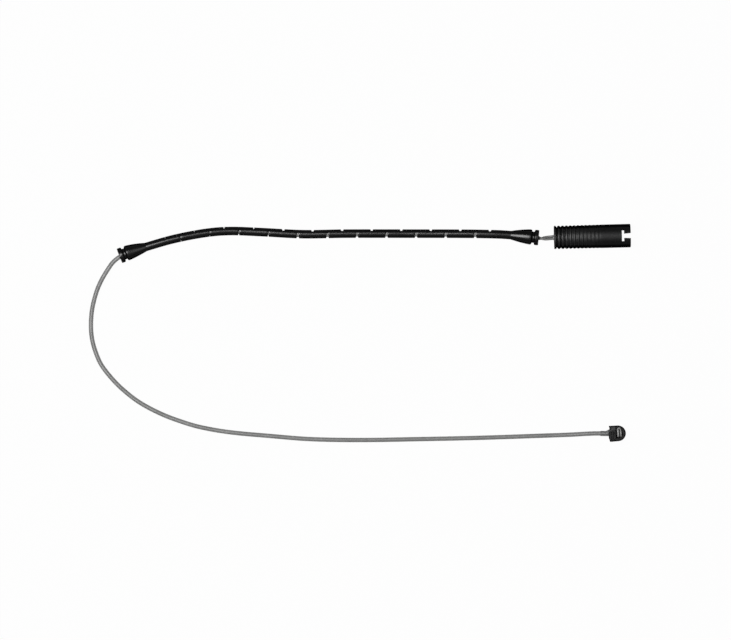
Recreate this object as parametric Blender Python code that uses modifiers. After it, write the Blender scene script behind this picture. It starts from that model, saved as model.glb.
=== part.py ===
"""A brake pad wear sensor, lying flat on a table as it comes to rest.

From the plug backwards: a round two-pin plug with a ribbed barrel, two twisted cores, a
slotted rubber sleeve with a clip-in collar at each end, the grey lead, and the moulded head
that wears down with the brake pad.

Metres, +Z up, the table at z = 0. +X is the way the plug's mouth faces, and +Y is towards
the sleeve from the head. The origin is on the table, midway between the ends of the plug,
sleeve and head.
"""

import math

import bmesh
import bpy
from mathutils import Matrix, Vector
from mathutils.geometry import interpolate_bezier

FIT = 0.0003  # clearance between pieces that touch or seat in each other
CUT_PAST = 0.001  # how far a cutter runs past a face that it opens

# Plug barrel: distances run along its axis from the cable end
PLUG_PLACE = (0.0973, 0.0513)  # centre of the cable end, seen from above
PLUG_TURN = math.radians(1.4)
PLUG_LENGTH = 0.0413
PLUG_DIAMETER = 0.0127
PLUG_SIDES = 32
RIB_COUNT = 12
RIB_PITCH = 0.0021
RIB_CREST = 0.0007
RIB_DEPTH_REAR = 0.00062
RIB_DEPTH_FRONT = 0.00015
MOUTH_ROUNDING = 0.0005
MATING_BORE = 0.0094
REAR_BORE = 0.0066
REAR_WALL = 0.0015
CORE_HOLE = 0.0046

# Two T-shaped notches in the mouth, one above the other
NOTCH_SET_BACK = 0.0033
NOTCH_ARM_WIDTH = 0.0015
NOTCH_ARM_SPAN = 0.0063
NOTCH_STEM = 0.0023
NOTCH_MOUTH = 0.0029

# Pieces inside the plug
SEAL_LENGTH = 0.0072
SEAL_LIPS = 3
SEAL_LIP_DEPTH = 0.0004
CARRIER_LENGTH = 0.012
CARRIER_WEB = 0.002
PIN_DIAMETER = 0.0015
PIN_SPACING = 0.0034
PIN_REACH = 0.0114  # in front of the carrier
PIN_SINK = 0.0004  # behind the carrier's rear face
CRIMP_DEPTH = 0.003
CRIMP_WALL = 0.0004

# Cores and lead
CORE_DIAMETER = 0.0011
CORE_STEP = 0.0007
LEAD_DIAMETER = 0.0024
LEAD_STEP = 0.0073
LEAD_TABLE_RUN = 0.06  # from the sleeve's raised end down to the table
HEAD_LEAD_RISE = 0.022  # from the table up to the boot

# Sleeve: distances run along it from each end face
SLEEVE_DIAMETER = 0.00465
SLEEVE_BORE = 0.0032
SLEEVE_MOUTH = 0.0042
SLEEVE_MOUTH_DEPTH = 0.006
COLLAR_DIAMETER = 0.0083
COLLAR_THICKNESS = 0.0022
GROOVE_DIAMETER = 0.0063
GROOVE_WIDTH = 0.0012
GROOVE_SLOPE = 0.0002
CONE_LENGTH = 0.0113
CONE_SHARES = (0.25, 0.5, 0.75)  # where its swelling side has a ring
CONE_SWELL = 1.5
SLEEVE_STEP = 0.006
JACKET_INSET = 0.006  # from the plug-side face to the end of the lead's jacket
SLEEVE_SAG = 0.06  # from the end of each cone to where the tube lies on the table

# Slots across the sleeve, cut from one side and the other in turn
SLOT_COUNT = 23
SLOT_PITCH = 0.00798
SLOT_INNER_WIDTH = 0.0009
SLOT_OUTER_WIDTH = 0.0019
SLOT_FLOOR = 0.00035  # from the sleeve's axis to the bottom of the cut
SLOT_ROLL = math.radians(-33)  # of the first slot, up from +Y

# Sensor head: distances run from its rear face towards the nose
HEAD_PLACE = (0.1273, -0.0547)  # centre of the rear face, seen from above
HEAD_TURN = math.radians(5)
HEAD_LENGTH = 0.00875
HEAD_WIDTH = 0.0083
HEAD_THICKNESS = 0.0062
HEAD_EDGE = 0.0004
HEAD_LEAD_HEIGHT = 0.0028
HEAD_SOCKET_DEPTH = 0.0017
ENTRY_PLACE = (0.1273, -0.0546)  # where the lead's axis meets the rear face
ENTRY_TURN = math.radians(-1)
WINDOW_START = 0.0035
WINDOW_LENGTH = 0.0034
WINDOW_RIGHT = -0.0023
WINDOW_LEFT = 0.0029
WINDOW_DEPTH = 0.0017
CHAMBER_FLOOR = 0.0013
CHAMBER_HEIGHT = 0.0024
CHAMBER_RIGHT = -0.0026
CHAMBER_LEFT = 0.0017
LOOP_DIAMETER = 0.0009
LOOP_SPAN = 0.00165
LOOP_REACH = 0.0038
BOOT_LENGTH = 0.0049
BOOT_FLARE = 0.0021
BOOT_GAP = 0.00055  # to the rear face, which the lead meets at a slant
BOOT_WALL = 0.0004
BOOT_THIN_WALL = 0.00025
BOOT_SWELL = 0.0003

# The sleeve's middle line seen from above, from the plug's side to the turn of the lead
SLEEVE_KNOTS = [
    (0.0890, 0.05117),
    (0.0730, 0.05265),
    (0.0671, 0.0530),
    (0.0519, 0.0533),
    (0.0174, 0.0534),
    (-0.0150, 0.0534),
    (-0.0388, 0.0531),
    (-0.0604, 0.0542),
    (-0.0777, 0.0548),
    (-0.0906, 0.0538),
    (-0.1079, 0.0505),
    (-0.1230, 0.0462),
    (-0.1337, 0.04275),
    (-0.1374, 0.0413),
]

# The lead's middle line seen from above, from the sleeve's far end round to the head
LEAD_KNOTS = [
    (-0.1408, 0.0380),
    (-0.1436, 0.0341),
    (-0.1470, 0.0284),
    (-0.1498, 0.0219),
    (-0.1522, 0.0122),
    (-0.1528, 0.0030),
    (-0.1521, -0.0041),
    (-0.1503, -0.0105),
    (-0.1475, -0.0170),
    (-0.1427, -0.0235),
    (-0.1365, -0.0300),
    (-0.1270, -0.0375),
    (-0.1155, -0.0437),
    (-0.1047, -0.0479),
    (-0.0939, -0.0511),
    (-0.0777, -0.0539),
    (-0.0561, -0.0559),
    (-0.0345, -0.0576),
    (-0.0075, -0.0581),
    (0.0249, -0.0576),
    (0.0573, -0.0569),
    (0.0897, -0.0558),
    (0.1062, -0.0552),
    (0.1170, -0.0546),
]


def clear_scene():
    for old in list(bpy.data.objects):
        bpy.data.objects.remove(old, do_unlink=True)


def new_collection(name):
    collection = bpy.data.collections.new(name)
    bpy.context.scene.collection.children.link(collection)
    return collection


def new_material(name, color, roughness, metallic=0.0):
    material = bpy.data.materials.new(name)
    material.use_nodes = True
    shader = material.node_tree.nodes["Principled BSDF"]
    shader.inputs["Base Color"].default_value = (*color, 1.0)
    shader.inputs["Roughness"].default_value = roughness
    shader.inputs["Metallic"].default_value = metallic
    material.diffuse_color = (*color, 1.0)
    return material


def new_empty(name, place, turn):
    empty = bpy.data.objects.new(name, None)
    empty.location = place
    empty.rotation_euler = (0.0, 0.0, turn)
    empty.empty_display_size = 0.005
    parts.objects.link(empty)
    return empty


def turned(name, profile, sides, material, parent, start=(0.0, 0.0, 0.0)):
    """A shape turned about its parent's X axis, from (distance, radius) pairs.

    The profile runs down its outer side, from the far end back, and up its inner side.
    """
    mesh = bpy.data.meshes.new(name)
    points = [(radius, 0.0, distance) for distance, radius in profile]
    on_axis = profile[0][1] == 0.0 and profile[-1][1] == 0.0
    edges = [(i, i + 1) for i in range(len(points) - 1)]
    if not on_axis:
        edges.append((len(points) - 1, 0))
    mesh.from_pydata(points, edges, [])
    piece = bpy.data.objects.new(name, mesh)
    parts.objects.link(piece)
    piece.parent = parent
    piece.location = start
    piece.rotation_euler = (0.0, math.pi / 2, 0.0)
    screw = piece.modifiers.new("Turn", "SCREW")
    screw.steps = screw.render_steps = sides
    screw.use_merge_vertices = True
    screw.merge_threshold = 0.000001
    screw.use_smooth_shade = False
    mesh.materials.append(material)
    return piece


def smooth_route(knots, step):
    """Points at equal steps along a smooth curve through the knots."""
    knots = [Vector(knot) for knot in knots]
    fine = []
    for i, (here, there) in enumerate(zip(knots, knots[1:])):
        before = knots[max(i - 1, 0)]
        after = knots[min(i + 2, len(knots) - 1)]
        reach = (there - here).length / 3
        fine += interpolate_bezier(
            here,
            here + (there - before).normalized() * reach,
            there - (after - here).normalized() * reach,
            there,
            25,
        )[:-1]
    fine.append(knots[-1])
    return at_distances(fine, even_steps(route_length(fine), step))


def route_length(points):
    return sum((b - a).length for a, b in zip(points, points[1:]))


def even_steps(length, step):
    count = max(round(length / step), 2)
    return [length * i / count for i in range(count + 1)]


def at_distances(points, distances):
    """The points of a polyline at the given distances from its start."""
    found = []
    walked = 0.0
    i = 0
    for distance in distances:
        while i < len(points) - 2 and walked + (points[i + 1] - points[i]).length < distance:
            walked += (points[i + 1] - points[i]).length
            i += 1
        stretch = points[i + 1] - points[i]
        found.append(points[i] + stretch * ((distance - walked) / stretch.length))
    return found


def eased(share):
    """0 to 1 with a level start and finish."""
    share = min(max(share, 0.0), 1.0)
    return share * share * (3.0 - 2.0 * share)


def tube(name, points, radii, resolution, material):
    """A round bar along the points, with a radius of its own at each one, as a mesh."""
    curve = bpy.data.curves.new(name + "_path", "CURVE")
    curve.dimensions = "3D"
    curve.bevel_depth = max(radii)
    curve.bevel_resolution = resolution
    curve.use_fill_caps = True
    spline = curve.splines.new("POLY")
    spline.points.add(len(points) - 1)
    for knot, point, radius in zip(spline.points, points, radii):
        knot.co = (*point, 1.0)
        knot.radius = radius / max(radii)
    return curve_to_mesh(name, curve, material)


def slab(name, outline, thickness, material):
    """A flat outline with its middle at z = 0, as a mesh."""
    curve = bpy.data.curves.new(name + "_outline", "CURVE")
    curve.dimensions = "2D"
    curve.fill_mode = "BOTH"
    curve.extrude = thickness / 2
    spline = curve.splines.new("POLY")
    spline.points.add(len(outline) - 1)
    for corner, (x, y) in zip(spline.points, outline):
        corner.co = (x, y, 0.0, 1.0)
    spline.use_cyclic_u = True
    return curve_to_mesh(name, curve, material)


def curve_to_mesh(name, curve, material):
    guide = bpy.data.objects.new(name + "_guide", curve)
    parts.objects.link(guide)
    bpy.context.view_layer.update()
    evaluated = guide.evaluated_get(bpy.context.evaluated_depsgraph_get())
    mesh = bpy.data.meshes.new_from_object(evaluated)
    mesh.name = name
    shape = bmesh.new()
    shape.from_mesh(mesh)
    bmesh.ops.remove_doubles(shape, verts=shape.verts, dist=0.000001)
    bmesh.ops.recalc_face_normals(shape, faces=shape.faces)
    shape.to_mesh(mesh)
    shape.free()
    piece = bpy.data.objects.new(name, mesh)
    piece.matrix_world = guide.matrix_world
    bpy.data.objects.remove(guide)
    parts.objects.link(piece)
    mesh.materials.clear()
    mesh.materials.append(material)
    return piece


def box(name, low, high):
    """A box between two corners, as a mesh object that is not yet in a collection."""
    mesh = bpy.data.meshes.new(name)
    shape = bmesh.new()
    bmesh.ops.create_cube(shape, size=1.0)
    size = Vector(high) - Vector(low)
    middle = (Vector(high) + Vector(low)) / 2
    shape.transform(Matrix.Translation(middle) @ Matrix.Diagonal(size).to_4x4())
    shape.to_mesh(mesh)
    shape.free()
    return bpy.data.objects.new(name, mesh)


def rod(name, radius, low, high, sides, y=0.0, z=0.0):
    """A cylinder along X between two distances, as a mesh object."""
    mesh = bpy.data.meshes.new(name)
    shape = bmesh.new()
    lay = Matrix.Translation(((low + high) / 2, y, z)) @ Matrix.Rotation(math.pi / 2, 4, "Y")
    bmesh.ops.create_cone(
        shape,
        cap_ends=True,
        segments=sides,
        radius1=radius,
        radius2=radius,
        depth=high - low,
        matrix=lay,
    )
    shape.to_mesh(mesh)
    shape.free()
    return bpy.data.objects.new(name, mesh)


def cut(piece, cutter, parent=None):
    """Take the cutter's shape out of the piece."""
    for collection in list(cutter.users_collection):
        collection.objects.unlink(cutter)
    cutters.objects.link(cutter)
    cutter.parent = parent
    cutter.hide_render = True
    cutter.display_type = "WIRE"
    modifier = piece.modifiers.new("Cut " + cutter.name, "BOOLEAN")
    modifier.operation = "DIFFERENCE"
    modifier.solver = "EXACT"
    modifier.object = cutter


def shade_round(piece, angle=35):
    piece.data.shade_smooth()
    piece.data.set_sharp_from_angle(angle=math.radians(angle))


clear_scene()
parts = new_collection("brake_pad_wear_sensor")
cutters = new_collection("cutters")

plug_plastic = new_material("plug_plastic", (0.012, 0.012, 0.013), 0.45)
carrier_plastic = new_material("carrier_plastic", (0.05, 0.05, 0.055), 0.5)
seal_rubber = new_material("seal_rubber", (0.35, 0.09, 0.03), 0.7)
tinned_brass = new_material("tinned_brass", (0.75, 0.74, 0.7), 0.3, 1.0)
core_plastic = new_material("core_plastic", (0.42, 0.42, 0.41), 0.45)
sleeve_rubber = new_material("sleeve_rubber", (0.015, 0.015, 0.016), 0.6)
lead_plastic = new_material("lead_plastic", (0.3, 0.3, 0.3), 0.5)
boot_rubber = new_material("boot_rubber", (0.15, 0.15, 0.15), 0.6)
head_plastic = new_material("head_plastic", (0.016, 0.016, 0.017), 0.5)

# Plug: its pieces sit on an empty at the centre of the cable end, with X along the axis
plug_height = PLUG_DIAMETER / 2
plug_axis = new_empty("plug_axis", (*PLUG_PLACE, plug_height), PLUG_TURN)
carrier_seat = REAR_WALL + FIT + SEAL_LENGTH + FIT
carrier_start = carrier_seat + FIT
carrier_front = carrier_start + CARRIER_LENGTH

# The grooves between the ribs get shallower towards the mouth
barrel_profile = [
    (PLUG_LENGTH, PLUG_DIAMETER / 2 - MOUTH_ROUNDING),
    (PLUG_LENGTH - 0.3 * MOUTH_ROUNDING, PLUG_DIAMETER / 2 - 0.3 * MOUTH_ROUNDING),
    (PLUG_LENGTH - MOUTH_ROUNDING, PLUG_DIAMETER / 2),
]
for rib in reversed(range(RIB_COUNT)):
    crest_start = rib * RIB_PITCH
    share = rib / max(RIB_COUNT - 1, 1)
    depth = RIB_DEPTH_REAR + (RIB_DEPTH_FRONT - RIB_DEPTH_REAR) * share
    barrel_profile += [
        (crest_start + RIB_PITCH, PLUG_DIAMETER / 2),
        (crest_start + (RIB_CREST + RIB_PITCH) / 2, PLUG_DIAMETER / 2 - depth),
        (crest_start + RIB_CREST, PLUG_DIAMETER / 2),
    ]
barrel_profile += [
    (0.0, PLUG_DIAMETER / 2),
    (0.0, CORE_HOLE / 2),
    (REAR_WALL, CORE_HOLE / 2),
    (REAR_WALL, REAR_BORE / 2),
    (carrier_seat, REAR_BORE / 2),
    (carrier_seat, MATING_BORE / 2),
    (PLUG_LENGTH, MATING_BORE / 2),
]
plug_barrel = turned("plug_barrel", barrel_profile, PLUG_SIDES, plug_plastic, plug_axis)
arm_near = PLUG_LENGTH - NOTCH_SET_BACK
arm_far = arm_near - NOTCH_ARM_WIDTH
notch_half = [
    (PLUG_LENGTH + CUT_PAST, NOTCH_MOUTH / 2),
    (PLUG_LENGTH, NOTCH_MOUTH / 2),
    (arm_near, NOTCH_STEM / 2),
    (arm_near, NOTCH_ARM_SPAN / 2),
    (arm_far, NOTCH_ARM_SPAN / 2),
]
notch_outline = notch_half + [(x, -y) for x, y in reversed(notch_half)]
notches = slab("mouth_notches", notch_outline, PLUG_DIAMETER + 2 * CUT_PAST, plug_plastic)
cut(plug_barrel, notches, plug_axis)

seal_radius = REAR_BORE / 2 - FIT
seal_start = REAR_WALL + FIT
lip_pitch = SEAL_LENGTH / SEAL_LIPS
seal_profile = [(seal_start + SEAL_LENGTH, 0.0)]
for lip in reversed(range(SEAL_LIPS)):
    lip_start = seal_start + lip * lip_pitch
    seal_profile += [
        (lip_start + lip_pitch, seal_radius - SEAL_LIP_DEPTH),
        (lip_start + 0.7 * lip_pitch, seal_radius),
        (lip_start + 0.3 * lip_pitch, seal_radius),
    ]
seal_profile += [(seal_start, seal_radius - SEAL_LIP_DEPTH), (seal_start, 0.0)]
rear_seal = turned("rear_seal", seal_profile, 20, seal_rubber, plug_axis)

carrier_profile = [
    (carrier_front, 0.0),
    (carrier_front, MATING_BORE / 2 - FIT),
    (carrier_start, MATING_BORE / 2 - FIT),
    (carrier_start, 0.0),
]
contact_carrier = turned("contact_carrier", carrier_profile, 24, carrier_plastic, plug_axis)

# Pins: a crimp cup at the rear, a shank in the carrier and a round tip in the mating bore
crimp_bore = CORE_DIAMETER / 2 + FIT
shank_radius = crimp_bore + CRIMP_WALL
shank_start = carrier_start + PIN_SINK
shank_end = carrier_front - CARRIER_WEB - FIT
pin_tip = carrier_front + PIN_REACH
pin_profile = [
    (pin_tip, 0.0),
    (pin_tip, 0.3 * PIN_DIAMETER),
    (pin_tip - 0.3 * PIN_DIAMETER, PIN_DIAMETER / 2),
    (shank_end, PIN_DIAMETER / 2),
    (shank_end, shank_radius),
    (shank_start, shank_radius),
    (shank_start, crimp_bore),
    (shank_start + CRIMP_DEPTH, crimp_bore),
    (shank_start + CRIMP_DEPTH, 0.0),
]
for number, side in ((1, 1), (2, -1)):
    y = side * PIN_SPACING / 2
    turned(f"contact_pin_{number}", pin_profile, 12, tinned_brass, plug_axis, (0.0, y, 0.0))
    core_way = rod(
        f"seal_hole_{number}",
        CORE_DIAMETER / 2 + FIT,
        seal_start - CUT_PAST,
        seal_start + SEAL_LENGTH + CUT_PAST,
        12,
        y=y,
    )
    cut(rear_seal, core_way, plug_axis)
    shank_way = rod(
        f"shank_hole_{number}",
        shank_radius + FIT,
        carrier_start - CUT_PAST,
        carrier_front - CARRIER_WEB,
        16,
        y=y,
    )
    cut(contact_carrier, shank_way, plug_axis)
    tip_way = rod(
        f"tip_hole_{number}",
        PIN_DIAMETER / 2 + FIT,
        carrier_start,
        carrier_front + CUT_PAST,
        16,
        y=y,
    )
    cut(contact_carrier, tip_way, plug_axis)

# Sleeve: its ends rest on their collars, and the thinner tube between them sags to the table
collar_height = COLLAR_DIAMETER / 2
tube_height = SLEEVE_DIAMETER / 2
cone_start = COLLAR_THICKNESS + GROOVE_WIDTH + 2 * GROOVE_SLOPE
cone_end = cone_start + CONE_LENGTH
plan = [Vector((x, y, 0.0)) for x, y in SLEEVE_KNOTS]
plan_fine = smooth_route(plan, 0.0005)
sleeve_length = route_length(plan_fine)


def sleeve_height(distance):
    from_end = min(distance, sleeve_length - distance)
    return collar_height + (tube_height - collar_height) * eased(
        (from_end - cone_end) / SLEEVE_SAG
    )


def on_sleeve(distance):
    """The point on the sleeve's middle line at a distance from its plug-side face."""
    if distance < 0.0:
        point = plan_fine[0] + (plan_fine[1] - plan_fine[0]).normalized() * distance
    elif distance > sleeve_length:
        past = distance - sleeve_length
        point = plan_fine[-1] + (plan_fine[-1] - plan_fine[-2]).normalized() * past
    else:
        point = at_distances(plan_fine, [distance])[0]
    return Vector((point.x, point.y, sleeve_height(distance)))


end_profile = [
    (0.0, COLLAR_DIAMETER / 2),
    (COLLAR_THICKNESS, COLLAR_DIAMETER / 2),
    (COLLAR_THICKNESS + GROOVE_SLOPE, GROOVE_DIAMETER / 2),
    (COLLAR_THICKNESS + GROOVE_SLOPE + GROOVE_WIDTH, GROOVE_DIAMETER / 2),
    (cone_start, COLLAR_DIAMETER / 2),
]
for share in CONE_SHARES:
    radius = COLLAR_DIAMETER / 2 + (SLEEVE_DIAMETER - COLLAR_DIAMETER) / 2 * share ** CONE_SWELL
    end_profile.append((cone_start + share * CONE_LENGTH, radius))
end_profile.append((cone_end, SLEEVE_DIAMETER / 2))
middle_length = sleeve_length - 2 * cone_end
middle_profile = [
    (cone_end + distance, SLEEVE_DIAMETER / 2)
    for distance in even_steps(middle_length, SLEEVE_STEP)[1:-1]
]
far_profile = [(sleeve_length - distance, radius) for distance, radius in reversed(end_profile)]
sleeve_profile = end_profile + middle_profile + far_profile
protective_sleeve = tube(
    "protective_sleeve",
    [on_sleeve(distance) for distance, _ in sleeve_profile],
    [radius for _, radius in sleeve_profile],
    6,
    sleeve_rubber,
)

bore_profile = [
    (-CUT_PAST, SLEEVE_MOUTH / 2),
    (COLLAR_THICKNESS, SLEEVE_MOUTH / 2),
    (SLEEVE_MOUTH_DEPTH, SLEEVE_BORE / 2),
    *[
        (SLEEVE_MOUTH_DEPTH + distance, SLEEVE_BORE / 2)
        for distance in even_steps(sleeve_length - 2 * SLEEVE_MOUTH_DEPTH, SLEEVE_STEP)[1:-1]
    ],
    (sleeve_length - SLEEVE_MOUTH_DEPTH, SLEEVE_BORE / 2),
    (sleeve_length - COLLAR_THICKNESS, SLEEVE_MOUTH / 2),
    (sleeve_length + CUT_PAST, SLEEVE_MOUTH / 2),
]
sleeve_bore = tube(
    "sleeve_bore",
    [on_sleeve(distance) for distance, _ in bore_profile],
    [radius for _, radius in bore_profile],
    4,
    sleeve_rubber,
)
cut(protective_sleeve, sleeve_bore)

# Slots: wedges, wider at the skin than at the bottom, on one side and the other in turn
slots = bmesh.new()
slot_top = SLEEVE_DIAMETER / 2 + CUT_PAST
slot_margin = (sleeve_length - (SLOT_COUNT - 1) * SLOT_PITCH) / 2
slot_flare = SLOT_OUTER_WIDTH + (SLOT_OUTER_WIDTH - SLOT_INNER_WIDTH) * CUT_PAST / (
    SLEEVE_DIAMETER / 2 - SLOT_FLOOR
)
for slot in range(SLOT_COUNT):
    distance = slot_margin + slot * SLOT_PITCH
    along = (on_sleeve(distance + 0.0005) - on_sleeve(distance - 0.0005)).normalized()
    across = Vector((0.0, 0.0, 1.0)).cross(along).normalized()
    # the sleeve runs towards -X, so its left-hand side is -Y
    facing = Matrix((along, -across, along.cross(-across))).transposed().to_4x4()
    roll = Matrix.Rotation(-(SLOT_ROLL + math.pi * (slot % 2)), 4, "X")
    wedge = bmesh.ops.create_cube(slots, size=1.0)["verts"]
    for corner in wedge:
        outer = corner.co.y > 0.0
        corner.co.x *= slot_flare if outer else SLOT_INNER_WIDTH
        corner.co.y = slot_top if outer else SLOT_FLOOR
        corner.co.z *= SLEEVE_DIAMETER + 2 * CUT_PAST
    place = Matrix.Translation(on_sleeve(distance)) @ facing @ roll
    bmesh.ops.transform(slots, matrix=place, verts=wedge)
bmesh.ops.recalc_face_normals(slots, faces=slots.faces)
slot_mesh = bpy.data.meshes.new("sleeve_slots")
slots.to_mesh(slot_mesh)
slots.free()
cut(protective_sleeve, bpy.data.objects.new("sleeve_slots", slot_mesh))
shade_round(protective_sleeve)

# Head: its pieces sit on an empty at the foot of the rear face, with X towards the nose
head_axis = new_empty("head_axis", (*HEAD_PLACE, 0.0), HEAD_TURN)
head_to_world = Matrix.Translation((*HEAD_PLACE, 0.0)) @ Matrix.Rotation(HEAD_TURN, 4, "Z")
entry_axis = new_empty("entry_axis", (*ENTRY_PLACE, HEAD_LEAD_HEIGHT), ENTRY_TURN)
entry_to_world = Matrix.Translation((*ENTRY_PLACE, 0.0)) @ Matrix.Rotation(
    ENTRY_TURN, 4, "Z"
)
nose_radius = HEAD_WIDTH / 2
nose_centre = HEAD_LENGTH - nose_radius
head_outline = [(0.0, HEAD_WIDTH / 2), (0.0, -HEAD_WIDTH / 2)]
for i in range(19):
    turn = -math.pi / 2 + math.pi * i / 18
    head_outline.append(
        (nose_centre + nose_radius * math.cos(turn), nose_radius * math.sin(turn))
    )
head_body = slab("head_body", head_outline, HEAD_THICKNESS, head_plastic)
head_body.parent = head_axis
head_body.location = (0.0, 0.0, HEAD_THICKNESS / 2)
rounding = head_body.modifiers.new("Rounded edges", "BEVEL")
rounding.width = HEAD_EDGE
rounding.segments = 2
rounding.limit_method = "ANGLE"
rounding.angle_limit = math.radians(50)

socket_radius = LEAD_DIAMETER / 2 + FIT + BOOT_WALL + FIT
window_floor = HEAD_THICKNESS - WINDOW_DEPTH
chamber_top = CHAMBER_FLOOR + CHAMBER_HEIGHT
window_end = WINDOW_START + WINDOW_LENGTH
socket = rod("lead_socket", socket_radius, -CUT_PAST, HEAD_SOCKET_DEPTH, 20)
cut(head_body, socket, entry_axis)
window = box(
    "loop_window",
    (WINDOW_START, WINDOW_RIGHT, window_floor),
    (window_end, WINDOW_LEFT, HEAD_THICKNESS + CUT_PAST),
)
chamber = box(
    "loop_chamber",
    (HEAD_SOCKET_DEPTH - FIT, CHAMBER_RIGHT, CHAMBER_FLOOR),
    (window_end, CHAMBER_LEFT, chamber_top),
)
# the loop's two ends pass down through the window's floor, at its right-hand end
leg_y = WINDOW_RIGHT + FIT + LOOP_DIAMETER / 2
passage = box(
    "loop_passage",
    (WINDOW_START, WINDOW_RIGHT, chamber_top - FIT),
    (window_end, leg_y + LOOP_DIAMETER, window_floor + FIT),
)
for opening in (window, chamber, passage):
    cut(head_body, opening, head_axis)

boot_inner = LEAD_DIAMETER / 2 + FIT
boot_outer = boot_inner + BOOT_WALL
boot_profile = [
    (HEAD_SOCKET_DEPTH - FIT, boot_outer),
    (-BOOT_GAP, boot_outer),
    (-BOOT_GAP, boot_outer + BOOT_SWELL),
    (-BOOT_FLARE, boot_inner + BOOT_THIN_WALL),
    (-BOOT_LENGTH, boot_inner + BOOT_THIN_WALL),
    (-BOOT_LENGTH, boot_inner),
    (HEAD_SOCKET_DEPTH - FIT, boot_inner),
]
lead_boot = turned("lead_boot", boot_profile, 20, boot_rubber, entry_axis)

# Lead: through the sleeve, round its turn on the table and into the head
lead_radius = LEAD_DIAMETER / 2
lead_end = HEAD_SOCKET_DEPTH - FIT
inner_length = sleeve_length - JACKET_INSET - COLLAR_THICKNESS - GROOVE_WIDTH
lead_knots = [
    on_sleeve(JACKET_INSET + distance) for distance in even_steps(inner_length, 0.012)
]
# it leaves the mouth low and towards the inside of its turn
mouth_play = SLEEVE_MOUTH / 2 - lead_radius - FIT
lead_knots.append(on_sleeve(sleeve_length) + Vector((0.0, -0.9 * mouth_play, 0.0)))
lead_knots += [Vector((x, y, 0.0)) for x, y in LEAD_KNOTS]
for before_head in (BOOT_LENGTH, 0.0, -lead_end):
    lead_knots.append(entry_to_world @ Vector((-before_head, 0.0, 0.0)))
lead_plan = smooth_route([(knot.x, knot.y, 0.0) for knot in lead_knots], LEAD_STEP)
lead_steps = even_steps(route_length(lead_plan), LEAD_STEP)
lead_points = []
for point, distance in zip(lead_plan, lead_steps):
    past_sleeve = distance + JACKET_INSET - sleeve_length
    before_boot = lead_steps[-1] - lead_end - BOOT_LENGTH - distance
    if past_sleeve < 0.0:
        height = sleeve_height(distance + JACKET_INSET)
    else:
        height = collar_height + (lead_radius - collar_height) * eased(
            past_sleeve / LEAD_TABLE_RUN
        )
    height += (HEAD_LEAD_HEIGHT - lead_radius) * eased(1.0 - before_boot / HEAD_LEAD_RISE)
    lead_points.append(Vector((point.x, point.y, height)))
sensor_lead = tube(
    "sensor_lead", lead_points, [lead_radius] * len(lead_points), 2, lead_plastic
)
shade_round(sensor_lead, 60)

# Cores: a twisted pair from the end of the jacket to the plug, then one to each pin
plug_to_world = Matrix.Translation((*PLUG_PLACE, plug_height)) @ Matrix.Rotation(
    PLUG_TURN, 4, "Z"
)
plug_side = plug_to_world.to_3x3() @ Vector((0.0, 1.0, 0.0))
pair_offset = (CORE_DIAMETER + FIT) / 2
pair_knots = [
    on_sleeve(JACKET_INSET - FIT),
    on_sleeve(JACKET_INSET / 2),
    on_sleeve(0.0),
    (on_sleeve(0.0) + plug_to_world @ Vector((0.0, 0.0, 0.0))) / 2,
    plug_to_world @ Vector((0.0, 0.0, 0.0)),
    plug_to_world @ Vector((REAR_WALL, 0.0, 0.0)),
    plug_to_world @ Vector((seal_start + SEAL_LENGTH / 2, 0.0, 0.0)),
    plug_to_world @ Vector((shank_start + CRIMP_DEPTH - FIT, 0.0, 0.0)),
]
pair_points = smooth_route(pair_knots, CORE_STEP)
sleeve_face_x = on_sleeve(0.0).x
plug_face_x = PLUG_PLACE[0]
for number, side in ((1, 1), (2, -1)):
    core_points = []
    for point in pair_points:
        # half a twist in the open stretch, quicker at the sleeve
        open_share = (point.x - sleeve_face_x) / (plug_face_x - sleeve_face_x)
        twist = math.pi * min(max(open_share, 0.0), 1.0) ** 0.7
        spread = eased((point.x - plug_face_x + 0.001) / (seal_start + 0.001))
        offset = pair_offset + (PIN_SPACING / 2 - pair_offset) * spread
        # it has turned over once by the plug, so the first core starts on the far side
        turned_side = plug_side * math.cos(twist) + Vector((0.0, 0.0, math.sin(twist)))
        core_points.append(point - turned_side * side * offset)
    tube(
        f"core_wire_{number}",
        core_points,
        [CORE_DIAMETER / 2] * len(core_points),
        2,
        core_plastic,
    )

# Wear loop: up through the window's floor, across it, round and down again
loop_radius = LOOP_DIAMETER / 2
loop_height = HEAD_THICKNESS - FIT - loop_radius
loop_rear = WINDOW_START + FIT + loop_radius + 0.0001
loop_front = loop_rear + LOOP_SPAN
loop_tip = leg_y + LOOP_REACH
strand_y = (LOOP_DIAMETER + FIT) / 2
strand_start = HEAD_SOCKET_DEPTH
chamber_low = CHAMBER_FLOOR + FIT + loop_radius
loop_knots = [
    (strand_start, -strand_y, HEAD_LEAD_HEIGHT),
    (0.6 * strand_start + 0.4 * loop_rear, -strand_y - 0.0003, HEAD_LEAD_HEIGHT - 0.0002),
    (loop_rear - 0.0003, leg_y + 0.0002, HEAD_LEAD_HEIGHT - 0.0001),
    (loop_rear, leg_y, chamber_top),
    (loop_rear, leg_y + 0.0004, loop_height - 0.0003),
    (loop_rear, leg_y + 0.0012, loop_height),
    (loop_rear, loop_tip - LOOP_SPAN / 2, loop_height),
]
for i in (1, 2, 3):
    turn = math.pi * i / 4
    loop_knots.append(
        (
            (loop_rear + loop_front) / 2 - LOOP_SPAN / 2 * math.cos(turn),
            loop_tip - LOOP_SPAN / 2 * (1.0 - math.sin(turn)),
            loop_height,
        )
    )
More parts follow.
